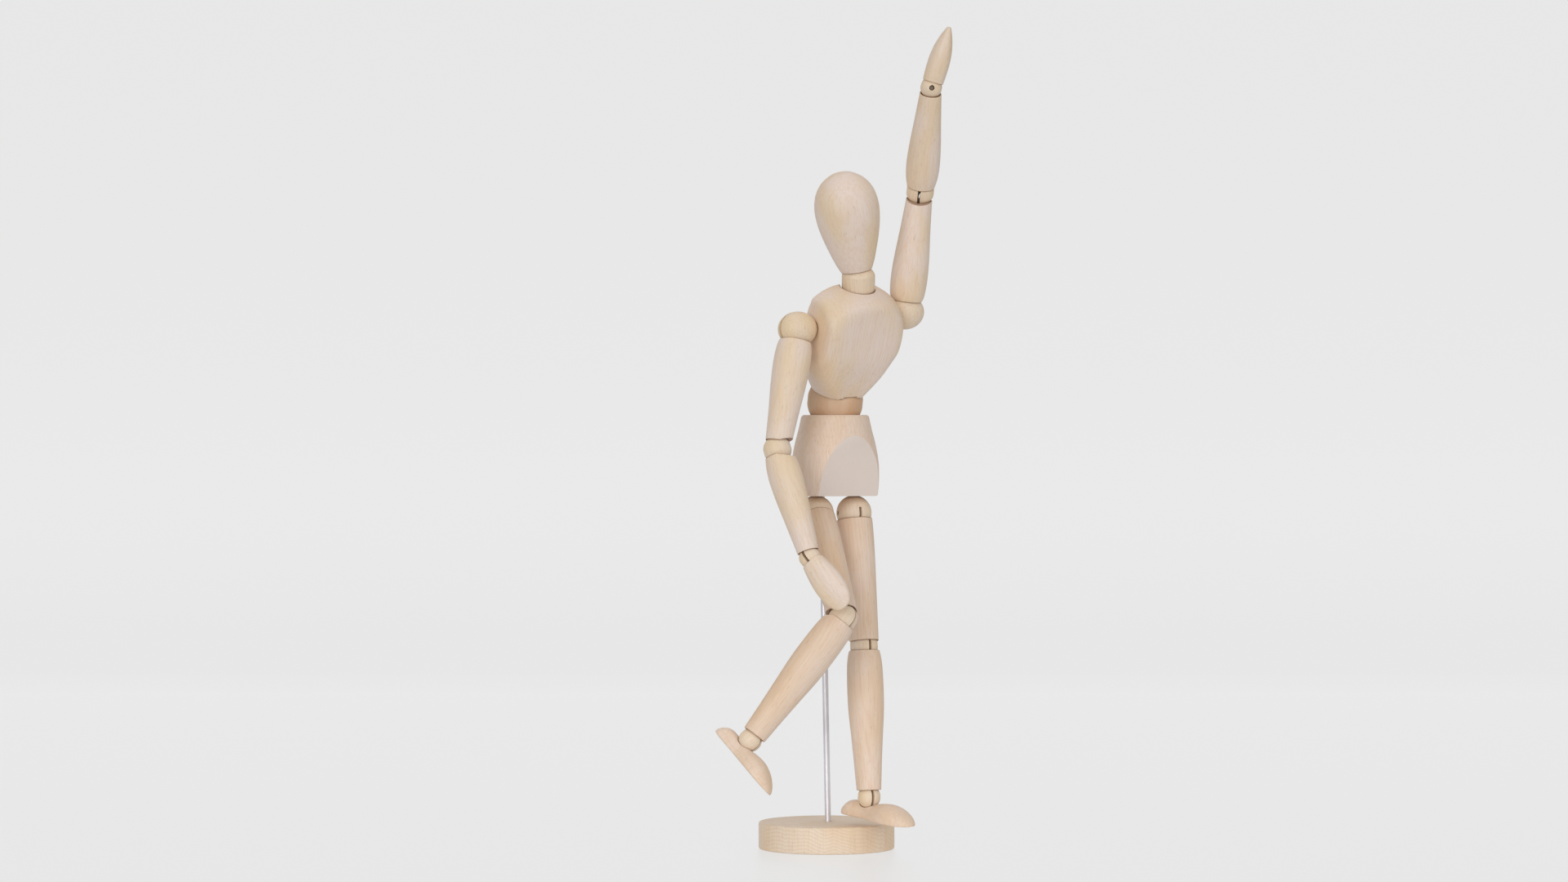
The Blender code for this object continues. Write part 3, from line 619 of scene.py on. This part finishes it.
# Main, dark and pale colours, and how strongly the growth rings show
WOOD_TONES = {
    "limb": ((0.81, 0.64, 0.45), (0.72, 0.48, 0.29), (0.83, 0.695, 0.61), 0.12),
    # warm_shaded: a browner copy of the wood, painted shade for the pelvis, legs and feet
    "warm_shaded": ((0.77, 0.57, 0.40), (0.67, 0.43, 0.26), (0.81, 0.65, 0.53), 0.14),
    "link": ((0.81, 0.635, 0.43), (0.71, 0.48, 0.28), (0.83, 0.69, 0.55), 0.12),
    "base": ((0.78, 0.60, 0.42), (0.68, 0.46, 0.29), (0.81, 0.67, 0.53), 0.35),
    # waist: a darker copy of the wood, painted shade for the waist ball under the chest
    "waist": ((0.66, 0.43, 0.26), (0.58, 0.34, 0.19), (0.70, 0.50, 0.35), 0.14),
}
# Painted highlight: cut flats are painted paler and greyer, as if they caught more light
FLAT_HIGHLIGHT_COLOUR = (0.77, 0.675, 0.615)
FLAT_HIGHLIGHT_SHARE = 0.85
# Painted shade: the cups and their lips are painted dark brown where the gap round each ball falls
# in shadow
CUP_SHADE_COLOUR = (0.36, 0.19, 0.10)
CUP_SHADE_SHARE = 0.8
PORE_COLOUR = (0.42, 0.27, 0.16)
PORE_SHARE = 0.30
FIBRE_SHARE = 0.24
# Lumps to the metre: twice across the grain, then along it
WANDER_SCALE = (70, 70, 14)
BLOTCH_SCALE = (55, 55, 22)
FIBRE_SCALE = (1500, 1500, 60)
PORE_SCALE = (2600, 2600, 220)
# Where each noise or wave starts to show, and where it shows in full
LATE_WOOD = (0.1, 1.0)
BLOTCHES = (0.38, 0.68)
FIBRES = (0.42, 0.7)
PORES = (0.64, 0.74)
RING_SPACING = 1.7 * MM
RING_STRETCH = (1, 1, 0.045)  # how little the rings change along the grain
RING_WANDER = (0.011, 0.011, 0)
PITH_DISTANCE = 30 * MM
PITH_SIDE = 0.3  # how far the pith lies sideways, as a share of that, and its step by seed
PITH_SIDE_STEP = 0.2
SEED_SHIFT = (0.137, 0.071, 0.193)
SEED_TURN = 1.3
GRAIN_TURNS = {
    "X": (math.radians(12), math.radians(82), math.radians(9)),
    "Y": (math.radians(88), 0, math.radians(7)),
}
WOOD_ROUGHNESS = 0.46
FIBRE_ROUGHNESS = 0.16
FIBRE_HEIGHT = 0.5
WOOD_BUMP = 0.25
WOOD_BUMP_DEPTH = 0.00008


def grain_turn(along, seed):
    """Turns the wood's own axes so that its grain runs along an axis of the piece."""
    if along in GRAIN_TURNS:
        return GRAIN_TURNS[along]
    return (math.radians(2 + seed % 3), math.radians(1 + seed % 2), seed * SEED_TURN)


def late_wood(nodes, shift, turn, seed):
    """Growth rings round a pith line beside the piece, wandering along the grain."""
    stretched = nodes.coordinates(WANDER_SCALE, offset=shift, turn=turn)
    wander = nodes.noise(stretched, output="Color")
    pushed = nodes.vector_math("MULTIPLY", wander, RING_WANDER)
    plain = nodes.coordinates((1, 1, 1), turn=turn)
    flat = nodes.vector_math("MULTIPLY", plain, RING_STRETCH)
    moved_flat = nodes.vector_math("ADD", flat, pushed)
    pith_side = PITH_SIDE + PITH_SIDE_STEP * (seed % 4)
    pith = (PITH_DISTANCE, PITH_DISTANCE * pith_side, 0)
    length = nodes.vector_math("LENGTH", nodes.vector_math("ADD", moved_flat, pith))
    rings = nodes.math("SINE", nodes.math("MULTIPLY", length, 2 * math.pi / RING_SPACING))
    return nodes.ramp(rings, *LATE_WOOD)


def wood(name, tone, seed, along="Z"):
    """Pale close-grained wood, with painted shade in the cups and a painted highlight on cut
    flats. The grain runs along an axis of the piece's own frame.
    """
    main, dark, pale, ring_strength = WOOD_TONES[tone]
    nodes = Nodes(name)
    shift = tuple(seed * step for step in SEED_SHIFT)
    turn = grain_turn(along, seed)
    blotch = nodes.noise(nodes.coordinates(BLOTCH_SCALE, offset=shift, turn=turn))
    fibre = nodes.noise(nodes.coordinates(FIBRE_SCALE, offset=shift, turn=turn))
    pore = nodes.noise(nodes.coordinates(PORE_SCALE, offset=shift, turn=turn), detail=1.0)
    pores = nodes.ramp(pore, *PORES)
    layers = [
        (nodes.math("MULTIPLY", late_wood(nodes, shift, turn, seed), ring_strength), dark),
        (nodes.math("MULTIPLY", nodes.ramp(fibre, *FIBRES), FIBRE_SHARE), dark),
        (nodes.math("MULTIPLY", pores, PORE_SHARE), PORE_COLOUR),
        # painted highlight on the cut flats
        (nodes.math("MULTIPLY", nodes.mark("flat_highlight"), FLAT_HIGHLIGHT_SHARE), FLAT_HIGHLIGHT_COLOUR),
        # painted shade in the cup and along its lip
        (nodes.math("MULTIPLY", nodes.mark("cup_shade"), CUP_SHADE_SHARE), CUP_SHADE_COLOUR),
    ]
    colour = nodes.mix(nodes.ramp(blotch, *BLOTCHES), pale, main)
    for share, layer in layers:
        colour = nodes.mix(share, colour, layer)
    nodes.join(colour, nodes.shader.inputs["Base Color"])
    rough = nodes.math("ADD", nodes.math("MULTIPLY", fibre, FIBRE_ROUGHNESS), WOOD_ROUGHNESS)
    nodes.join(rough, nodes.shader.inputs["Roughness"])
    height = nodes.math("SUBTRACT", nodes.math("MULTIPLY", fibre, FIBRE_HEIGHT), pores)
    nodes.bump(height, WOOD_BUMP, WOOD_BUMP_DEPTH)
    return nodes.material


# Lumps to the metre: twice across the piece, then along it
LINE_SCALE = (2500, 2500, 30)
CLOUD_SCALE = (90, 90, 40)
CLOUDS = (0.4, 0.7)
DULLED = 0.8
LINE_BUMP = 0.15
LINE_DEPTH = 0.00002


def steel(name, colour, roughness, brushed):
    """Drawn steel with fine lines along its length and a little dulling."""
    nodes = Nodes(name)
    lines = nodes.noise(nodes.coordinates(LINE_SCALE))
    clouds = nodes.ramp(nodes.noise(nodes.coordinates(CLOUD_SCALE), detail=3.0), *CLOUDS)
    dull = tuple(DULLED * channel for channel in colour)
    nodes.join(nodes.mix(clouds, colour, dull), nodes.shader.inputs["Base Color"])
    rough = nodes.math("ADD", nodes.math("MULTIPLY", lines, brushed), roughness)
    nodes.join(rough, nodes.shader.inputs["Roughness"])
    nodes.shader.inputs["Metallic"].default_value = 1.0
    nodes.bump(lines, LINE_BUMP, LINE_DEPTH)
    return nodes.material


# The pins are painted dark brown: painted shade of the hole each pin sits in
SHADED_PIN_STEEL = steel("shaded_pin_steel", (0.21, 0.16, 0.12), 0.45, 0.12)
ROD_STEEL = steel("rod_steel", (0.93, 0.92, 0.97), 0.45, 0.12)
SPRING_STEEL = steel("spring_wire", (0.45, 0.45, 0.46), 0.32, 0.10)


# ---------------------------------------------------------------- pieces


def add_limb(limb_kind, side, seed):
    """A turned limb with a cup at each end and a bore right through."""
    outline, upper_kind, lower_kind, length, tone = LIMBS[limb_kind]
    name = f"{limb_kind}_{side}"
    smooth = [Vector((radius, -distance)) for distance, radius in smooth_outline(outline)]
    lower_rim = length - outline[-1][0]
    lower = cup_arc(BALLS[lower_kind][0], lower_rim, LIMB_BORE)
    lower = [Vector((r, z - length)) for r, z in lower]
    upper_radius = BALLS[upper_kind][0] if upper_kind else SHOULDER_RADIUS
    upper = [Vector((r, -z)) for r, z in cup_arc(upper_radius, outline[0][0], LIMB_BORE)]
    profile = filleted(smooth + lower + upper[::-1])
    limb = turned(name, profile, PLACES[name], closed=True)
    if not upper_kind:
        ball_place = PLACES[f"shoulder_ball_{side}"] @ Matrix.Rotation(math.pi / 2, 4, "Y")
        carve(limb, [turned("cutter", shoulder_outline(GAP), ball_place, CUTTER_SIDES)])
    if upper_kind in FOLD_SIDE:
        slice_off(limb, notch_place(limb, -outline[0][0], FOLD_SIDE[upper_kind], False))
    if lower_kind in FOLD_SIDE:
        slice_off(limb, notch_place(limb, -outline[-1][0], FOLD_SIDE[lower_kind], True))
    mark_cup_shade(limb, (0, 0, 0), upper_radius)
    mark_cup_shade(limb, (0, 0, -length), BALLS[lower_kind][0])
    finish_piece(limb, name, name, wood(name + "_wood", tone, seed))


def notch_place(limb, height, fold_side, is_lower):
    """The plane that slopes a limb's end away on the side its joint folds to."""
    slope_angle = fold_side * NOTCH_SLOPE
    angle = math.pi + slope_angle if is_lower else -slope_angle
    slope = Matrix.Rotation(angle, 4, "X")
    return shifted(limb.matrix_world, 0, fold_side * NOTCH_START, height) @ slope


def open_slot(radius, web_side):
    """A slot through the ball, but for a web on one side."""
    reach = radius + SLOT_OVERCUT
    near, far = WEB_START * web_side, reach * web_side
    half = WEB_HALF_HEIGHT
    return [
        (-far, -reach), (far, -reach), (far, -half), (near, -half),
        (near, half), (far, half), (far, reach), (-far, reach),
    ]


def hip_slot(radius):
    """Open in front, below and behind, with a narrow way up for the hip spring's hook."""
    reach = radius + SLOT_OVERCUT
    top, neck = HIP_SLOT_TOP, HOOK_HALF_WIDTH
    return [
        (-reach, -reach), (reach, -reach), (reach, top), (neck, top),
        (neck, reach), (-neck, reach), (-neck, top), (-reach, top),
    ]


def shoulder_slot(radius, inner_sign):
    """Open outwards and down, with a narrow way in to the chest's spring."""
    reach = radius + SHOULDER_OVERCUT
    neck, low, high = HOOK_HALF_WIDTH, SHOULDER_SLOT_INNER, SHOULDER_SLOT_TOP
    outline = [
        (-reach, -reach), (low, -reach), (low, -neck), (reach, -neck),
        (reach, neck), (high, neck), (high, reach), (-reach, reach),
    ]
    return [(inner_sign * y, z) for y, z in outline]


def shoulder_outline(extra=0.0, steps=CUTTER_BALL_STEPS):
    """The shoulder ball turned about its long axis, which runs across the body."""
    radius, length = SHOULDER_RADIUS + extra, SHOULDER_HALF_LENGTH + extra
    angles = [math.pi * i / steps for i in range(steps + 1)]
    points = [Vector((radius * math.sin(a), length * math.cos(a))) for a in angles]
    points[0].x = points[-1].x = 0
    return points


def add_link(name, kind, slot, seed, mouth_side=1):
    """A small ball link with its slot and the hole of its cross pin."""
    radius, barrel = BALLS[kind]
    mouth = Vector((mouth_side, 0, 0))
    place = PLACES[name]
    ball = turned(name, filleted(ball_outline(radius, barrel), LINK_EDGE), place)
    start, end = mouth * (PIN_HOLE_FLOOR - radius), mouth * (radius + HOLE_OVERCUT)
    cutters = [
        prism(slot, SLOT_HALF_WIDTH, place),
        bar("cutter", PIN_HOLE_RADIUS, start, end, place, PIN_SIDES),
    ]
    carve(ball, cutters)
    finish_piece(ball, name, name, wood(name + "_wood", "link", seed))
    pin_start, pin_end = mouth * (PIN_END - radius), mouth * (radius - PIN_RECESS)
    add_pin(name.replace("ball", "pin"), name, pin_start, pin_end)


def add_pin(name, body, start, end):
    """A ball's steel cross pin, painted dark brown as the shade of its hole."""
    pin = bar(name, PIN_RADIUS, start, end, PLACES[body], PIN_SIDES, edge=PIN_EDGE)
    finish_piece(pin, name, body, SHADED_PIN_STEEL)


def add_shoulder_ball(side, seed):
    """The long ball between chest and arm, with its slot and cross pin."""
    name = f"shoulder_ball_{side}"
    place = PLACES[name]
    ball = turned(name, shoulder_outline(), place @ Matrix.Rotation(math.pi / 2, 4, "Y"))
    ball.data.transform(Matrix.Rotation(math.pi / 2, 4, "Y"))
    ball.matrix_world = place
    slot = shoulder_slot(SHOULDER_RADIUS, SIGN[side])
    quarter = Matrix.Rotation(math.pi / 2, 4, "Z")
    mouth = Vector((0, -SIGN[side], 0))
    start = mouth * (SHOULDER_RADIUS + HOLE_OVERCUT)
    end = mouth * (PIN_HOLE_FLOOR - SHOULDER_RADIUS)
    cutters = [
        prism(slot, SLOT_HALF_WIDTH, place @ quarter),
        bar("cutter", PIN_HOLE_RADIUS, start, end, place, PIN_SIDES),
    ]
    carve(ball, cutters)
    finish_piece(ball, name, name, wood(name + "_wood", "link", seed, along="X"))
    pin_start = mouth * (SHOULDER_RADIUS - PIN_RECESS)
    pin_end = mouth * (PIN_END - SHOULDER_RADIUS)
    add_pin(f"shoulder_pin_{side}", name, pin_start, pin_end)


def add_trunk_ball(kind, bore, tone):
    """The drilled ball of the waist or the neck."""
    name = kind + "_ball"
    radius, barrel = BALLS[kind]
    place = PLACES[name]
    outline = filleted(ball_outline(radius, barrel, TRUNK_BALL_STEPS), TRUNK_BALL_EDGE)
    ball = turned(name, outline, place, TRUNK_SIDES)
    reach = radius + HOLE_OVERCUT
    carve(ball, [bar("cutter", bore, (0, 0, -reach), (0, 0, reach), place)])
    finish_piece(ball, name, name, wood(name + "_wood", tone, SEEDS[name]))


def soft_least(a, b, softness):
    """The smaller of two numbers, rounded off where they are about equal."""
    overlap = max(softness - abs(a - b), 0) / softness
    return min(a, b) - overlap * overlap * softness / 4


def facet_reach(facets):
    """A trimming rule for turned(): each facet is (outward normal, point on it, softness)."""

    def reach(radius, angle, height):
        direction = Vector((math.cos(angle), math.sin(angle), 0))
        for normal, point, softness in facets:
            facing = normal.dot(direction)
            if facing > FACING_LEAST:
                distance = (normal.dot(point) - normal.z * height) / facing
                radius = soft_least(radius, max(distance, RADIUS_LEAST), softness)
        return radius

    return reach


def tilted(degrees, sign):
    """The outward normal of a front (-1) or back (1) facet that leans by some degrees."""
    angle = math.radians(degrees)
    return Vector((0, sign * math.cos(angle), math.sin(angle)))


def chest_facets():
    """The chest's flats, as facet_reach() takes them."""
    belly, back = Vector((0, -BELLY_DEPTH, CHEST_FLOOR)), Vector((0, BACK_DEPTH, CHEST_FLOOR))
    facets = [
        (Vector((0, -1, 0)), Vector((0, -CHEST_FRONT, 0)), FRONT_SOFTNESS),
        (tilted(BELLY_LEAN, -1), belly, BELLY_SOFTNESS),
        (tilted(BACK_LEAN, 1), back, BACK_SOFTNESS),
    ]
    for sign in (1, -1):
        normal = Vector((sign, 0, 0))
        facets.append((normal, normal * CHEST_HALF_WIDTH, SIDE_SOFTNESS))
    return facets


def add_chest():
    """A turned block with flats, cups for the waist and neck, and a socket at each shoulder."""
    place = PLACES["chest"]
    outline = smooth_outline(CHEST_OUTLINE, TRUNK_STEPS)
    outline += [Vector((CHEST_RIM, CHEST_FLOOR)), Vector((0, CHEST_FLOOR))]
    chest = turned("chest", outline, place, TRUNK_SIDES, reach=facet_reach(chest_facets()))
    sockets = [PLACES[f"shoulder_ball_{side}"] for side in SIDES]
    inverse = place.inverted()
    shoulders = [inverse @ socket.translation / MM for socket in sockets]
    neck = (0, 0, NECK_HEIGHT)
    cutters = [
        sphere_cutter(BALLS["waist"][0] + GAP, place),
        sphere_cutter(BALLS["neck"][0] + GAP, shifted(place, *neck)),
        bar("cutter", TRUNK_BORE, (0, 0, 0), (0, 0, TRUNK_BORE_DEPTH), place),
        bar("cutter", NECK_BORE, (0, 0, NECK_HEIGHT - NECK_BORE_DEPTH), neck, place),
        bar("cutter", LIMB_BORE, shoulders[0], shoulders[1], place),
    ]
    for shoulder in shoulders:
        seat = shifted(place, *shoulder) @ Matrix.Rotation(math.pi / 2, 4, "Y")
        cutters.append(turned("cutter", shoulder_outline(GAP), seat, CUTTER_SIDES))
    carve(chest, cutters)
    mark_cup_shade(chest, (0, 0, 0), BALLS["waist"][0])
    mark_cup_shade(chest, neck, BALLS["neck"][0])
    finish_piece(chest, "chest", "chest", wood("chest_wood", "limb", SEEDS["chest"]))


def rod_ends():
    """The rod's foot and head, in metres. It leans to the figure's right as it rises."""
    low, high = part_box("rod")
    inset = ROD_RADIUS * MM
    return Vector((high.x - inset, 0, low.z)), Vector((low.x + inset, 0, high.z))


def pelvis_cutters(place, waist):
    """What is cut out of the pelvis: the waist cup, the bores, the hip cups and the rod's hole."""
    inverse = place.inverted()
    foot, head = rod_ends()
    beyond = head + Vector((0, 0, ROD_HOLE_END)) * MM
    hole_start, hole_end = inverse @ ((foot + head) / 2) / MM, inverse @ beyond / MM
    cutters = [
        sphere_cutter(BALLS["waist"][0] + GAP, shifted(place, *waist)),
        bar("cutter", TRUNK_BORE, (0, 0, waist[2] - TRUNK_BORE_DEPTH), waist, place),
        bar("cutter", ROD_HOLE_RADIUS, hole_start, hole_end, place),
    ]
    for side in SIDES:
        x = SIGN[side] * HIP_HALF_SPACING
        cutters.append(sphere_cutter(BALLS["hip"][0] + GAP, shifted(place, x, 0, 0)))
        cutters.append(bar("cutter", LIMB_BORE, (x, 0, 0), (x, 0, HIP_BORE_DEPTH), place))
    return cutters


def add_pelvis():
    """A turned block with a flat in front, a waist cup above and two hip cups below."""
    place = PLACES["pelvis"]
    outline = [Vector(p) for p in PELVIS_TOP]
    outline += smooth_outline(PELVIS_SIDE, TRUNK_STEPS)
    outline += [Vector(p) for p in PELVIS_UNDERSIDE]
    pelvis = turned("pelvis", outline, place, TRUNK_SIDES)
    waist = (0, 0, (PLACES["chest"].translation - place.translation).length / MM)
    carve(pelvis, pelvis_cutters(place, waist))
    lean = Matrix.Rotation(math.radians(90 + PELVIS_FLAT_LEAN), 4, "X")
    slice_off(pelvis, shifted(place, 0, -PELVIS_FLAT_DEPTH, PELVIS_FLOOR) @ lean)
    mark_cup_shade(pelvis, waist, BALLS["waist"][0])
    for side in SIDES:
        mark_cup_shade(pelvis, (SIGN[side] * HIP_HALF_SPACING, 0, 0), BALLS["hip"][0])
    finish_piece(pelvis, "pelvis", "pelvis", wood("pelvis_wood", "warm_shaded", SEEDS["pelvis"]))


def add_head():
    """A plain egg with a cup for the neck ball."""
    cup = cup_arc(BALLS["neck"][0], HEAD_OUTLINE[-1][1], NECK_BORE)
    outline = smooth_outline(HEAD_OUTLINE, TRUNK_STEPS) + cup
    outline += [Vector((NECK_BORE, HEAD_BORE_END)), Vector((0, HEAD_BORE_END))]
    head = turned("head", filleted(outline), PLACES["head"], TRUNK_SIDES)
    mark_cup_shade(head, (0, 0, 0), BALLS["neck"][0])
    finish_piece(head, "head", "head", wood("head_wood", "limb", SEEDS["head"]))


def oblong_reach(c, s, squareness):
    """How far out a rounded oblong of half width 1 reaches in the direction (c, s)."""
    return (abs(c) ** squareness + abs(s) ** squareness) ** (-1 / squareness)


def ring_angles(count):
    """Evenly spaced angles round a ring, none of them on an axis."""
    return [2 * math.pi * (i + 0.5) / count for i in range(count)]


def hand_ring(half_width, half_thickness):
    """Points of a rounded oblong section, as (x, y)."""
    points = []
    for angle in ring_angles(HAND_RING_POINTS):
        c, s = math.cos(angle), math.sin(angle)
        out = oblong_reach(c, s, HAND_SQUARENESS)
        points.append((half_width * out * c, half_thickness * out * s))
    return points


def foot_ring(low, high, half_width):
    """Points of a domed section on a flat sole, as (x, z)."""
    edge = low + (high - low) * SOLE_EDGE
    points = []
    for angle in ring_angles(FOOT_RING_POINTS):
        c, s = math.cos(angle), math.sin(angle)
        above, below = (INSTEP_SQUARENESS, high - edge), (SOLE_SQUARENESS, edge - low)
        squareness, depth = above if s > 0 else below
        out = oblong_reach(c, s, squareness)
        points.append((half_width * out * c, edge + depth * out * s))
    return points


def smooth_sections(sections):
    """Extra sections between the given ones, each number on its own smooth curve."""
    columns = []
    for column in range(1, len(sections[0])):
        columns.append(smooth_outline([(row[0], row[column]) for row in sections]))
    return [(points[0].x, *(p.y for p in points)) for points in zip(*columns)]


def add_hand(side, seed):
    """A mitten shape with a cup for the wrist link."""
    name = f"hand_{side}"
    rings = []
    for distance, wide, thick in smooth_sections(HAND_SECTIONS):
        rings.append([Vector((x, y, -distance)) for x, y in hand_ring(wide, thick)])
    hand = lofted(name, rings, PLACES[name])
    carve(hand, [sphere_cutter(BALLS["wrist"][0] + GAP, PLACES[name])])
    finish_piece(hand, name, name, wood(name + "_wood", "limb", seed))


def add_foot(side, seed):
    """A shoe shape with a cup for the ankle link."""
    name = f"foot_{side}"
    rings = []
    for forward, low, high, half_width in smooth_sections(FOOT_SECTIONS):
        rings.append([Vector((x, -forward, z)) for x, z in foot_ring(low, high, half_width)])
    foot = lofted(name, rings, PLACES[name])
    carve(foot, [sphere_cutter(BALLS["ankle"][0] + GAP, PLACES[name])])
    finish_piece(foot, name, name, wood(name + "_wood", "warm_shaded", seed, along="Y"))


def add_support():
    """The round base and the steel rod that stands in it."""
    place = PLACES["support"]
    low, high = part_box("base")
    radius, height = (high.x - low.x) / 2 / MM, (high.z - low.z) / MM
    outline = [
        (0, height), (radius - BASE_TOP_INSET, height), (radius, height),
        (radius, 0), (radius - BASE_UNDER_INSET, 0), (0, 0),
    ]
    profile = filleted([Vector(p) for p in outline], BASE_EDGE)
    base = turned("base", profile, place, BASE_SIDES)
    foot, head = (end / MM for end in rod_ends())
    hole_end = foot + Vector((0, 0, ROD_HOLE_CUT))
    carve(base, [bar("cutter", ROD_HOLE_RADIUS, foot, hole_end, place)])
    base_wood = wood("base_wood", "base", SEEDS["base"], along="X")
    finish_piece(base, "base", "support", base_wood)
    rod = bar("rod", ROD_RADIUS, foot, head, place, ROD_SIDES, edge=ROD_EDGE)
    finish_piece(rod, "rod", "support", ROD_STEEL)


def add_side(side):
    """One arm and one leg, each piece with the next seed."""
    seeds = itertools.count(FIRST_SEED[side])
    for limb_kind in LIMBS:
        add_limb(limb_kind, side, next(seeds))
    add_shoulder_ball(side, next(seeds))
    for kind in LINKS:
        radius = BALLS[kind][0]
        slot = hip_slot(radius) if kind == "hip" else open_slot(radius, WEB_SIDE[kind])
        mouth_side = -SIGN[side] if kind == "hip" else 1
        add_link(f"{kind}_ball_{side}", kind, slot, next(seeds), mouth_side)
    add_hand(side, next(seeds))
    add_foot(side, next(seeds))


def dress_wires():
    """Steel on the springs and hooks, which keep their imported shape."""
    for node_name, node in frame["nodes"].items():
        if "spring" in node_name or "hook" in node_name:
            node.data.materials.clear()
            node.data.materials.append(SPRING_STEEL)


# ---------------------------------------------------------------- stage, light and camera


CAMERA_PLACE = Vector((-20.4, -1960.0, 195.5)) * MM
FOCAL_LENGTH = 93.75
SENSOR_WIDTH = 36.0
CLIP_START = 0.05

# Floor and backdrop, in metres
FLOOR_HALF_WIDTH = 1.4
FLOOR_FRONT = -0.3
FLOOR_BACK = 1.2
BEND_RADIUS = 0.9
BEND_STEPS = 12
WALL_TOP = 2.2
FLOOR_GLOW = 0.632
WALL_GLOW = 0.775
GLOW_RISE = (1.15, 1.75)  # how far back the floor's glow turns into the wall's
PAPER_COLOUR = (0.03, 0.03, 0.03, 1)
PAPER_ROUGHNESS = 0.4
PAPER_SPECULAR = 0.2

# Soft boxes, in metres and watts: place, size, power
SOFT_BOXES = {
    "key": ((-0.6, -2.0, 0.6), 1.3, 19),
    "fill": ((1.3, -1.4, 0.7), 1.2, 7),
    "overhead": ((-0.2, -0.2, 1.7), 1.0, 1),
}
LIGHT_TARGET = Vector((0, 0, 0.3))
# The room's brightness low and high, and the upward slopes between which it changes
ROOM_GLOW = (0.22, 0.62)
ROOM_RISE = (-0.1, 0.9)


def add_camera():
    """A level camera in front of the figure."""
    data = bpy.data.cameras.new("camera")
    data.lens = FOCAL_LENGTH
    data.sensor_width = SENSOR_WIDTH
    data.clip_start = CLIP_START
    camera = bpy.data.objects.new("camera", data)
    bpy.context.scene.collection.objects.link(camera)
    camera.location = CAMERA_PLACE
    camera.rotation_euler = (math.radians(90), 0, 0)
    bpy.context.scene.camera = camera


def backdrop_profile():
    """(depth, height) points of a floor that sweeps up into a wall."""
    profile = [(FLOOR_FRONT, 0.0), (FLOOR_BACK, 0.0)]
    for step in range(1, BEND_STEPS + 1):
        angle = math.pi / 2 * step / BEND_STEPS
        depth = FLOOR_BACK + BEND_RADIUS * math.sin(angle)
        profile.append((depth, BEND_RADIUS * (1 - math.cos(angle))))
    profile.append((FLOOR_BACK + BEND_RADIUS, WALL_TOP))
    return profile


def paper():
    """A dark sheet that looks pale by its own glow, which is stronger on the wall."""
    nodes = Nodes("floor_paper")
    nodes.shader.inputs["Base Color"].default_value = PAPER_COLOUR
    nodes.shader.inputs["Roughness"].default_value = PAPER_ROUGHNESS
    nodes.shader.inputs["Specular IOR Level"].default_value = PAPER_SPECULAR
    nodes.shader.inputs["Emission Color"].default_value = (1, 1, 1, 1)
    parts = nodes.add("ShaderNodeSeparateXYZ")
    nodes.join(nodes.coordinates((1, 1, 1)), parts.inputs["Vector"])
    distance = nodes.ramp(parts.outputs["Y"], *GLOW_RISE)
    glow = nodes.math("MULTIPLY", distance, WALL_GLOW - FLOOR_GLOW)
    nodes.join(nodes.math("ADD", glow, FLOOR_GLOW), nodes.shader.inputs["Emission Strength"])
    return nodes.material


def add_stage():
    """The floor and backdrop, as one sheet."""
    profile = backdrop_profile()
    work = bmesh.new()
    edges = (-FLOOR_HALF_WIDTH, FLOOR_HALF_WIDTH)
    left, right = ([work.verts.new((x, y, z)) for y, z in profile] for x in edges)
    for i in range(len(profile) - 1):
        work.faces.new((left[i], right[i], right[i + 1], left[i + 1]))
    mesh = bpy.data.meshes.new("floor")
    work.to_mesh(mesh)
    work.free()
    mesh.shade_smooth()
    mesh.materials.append(paper())
    floor = bpy.data.objects.new("floor", mesh)
    bpy.context.scene.collection.objects.link(floor)


def add_soft_box(name, place, size, power):
    """A square light that faces the figure."""
    light = bpy.data.lights.new(name, "AREA")
    light.shape = "SQUARE"
    light.size = size
    light.energy = power
    lamp = bpy.data.objects.new(name, light)
    bpy.context.scene.collection.objects.link(lamp)
    lamp.location = place
    direction = LIGHT_TARGET - Vector(place)
    lamp.rotation_euler = direction.to_track_quat("-Z", "Y").to_euler()


def add_room():
    """A plain grey room that is brighter towards its ceiling."""
    world = bpy.data.worlds.new("studio")
    bpy.context.scene.world = world
    world.use_nodes = True
    tree = world.node_tree
    background = tree.nodes["Background"]
    background.inputs["Strength"].default_value = 1.0
    direction = tree.nodes.new("ShaderNodeTexCoord")
    parts = tree.nodes.new("ShaderNodeSeparateXYZ")
    height = tree.nodes.new("ShaderNodeMapRange")
    height.inputs["From Min"].default_value, height.inputs["From Max"].default_value = ROOM_RISE
    height.inputs["To Min"].default_value, height.inputs["To Max"].default_value = ROOM_GLOW
    tree.links.new(direction.outputs["Generated"], parts.inputs["Vector"])
    tree.links.new(parts.outputs["Z"], height.inputs["Value"])
    tree.links.new(height.outputs["Result"], background.inputs["Color"])


def add_light():
    """A key and a fill from the front, a weak box overhead, and the room's own light."""
    for name, (place, size, power) in SOFT_BOXES.items():
        add_soft_box(name, place, size, power)
    add_room()
    bpy.context.scene.view_settings.view_transform = "Standard"


add_camera()
add_stage()
add_light()
add_support()
add_pelvis()
# the waist ball's darker wood is painted shade from the chest above it
add_trunk_ball("waist", WAIST_BALL_BORE, "waist")
add_chest()
add_trunk_ball("neck", NECK_BORE, "link")
add_head()
for side_name in SIDES:
    add_side(side_name)
dress_wires()
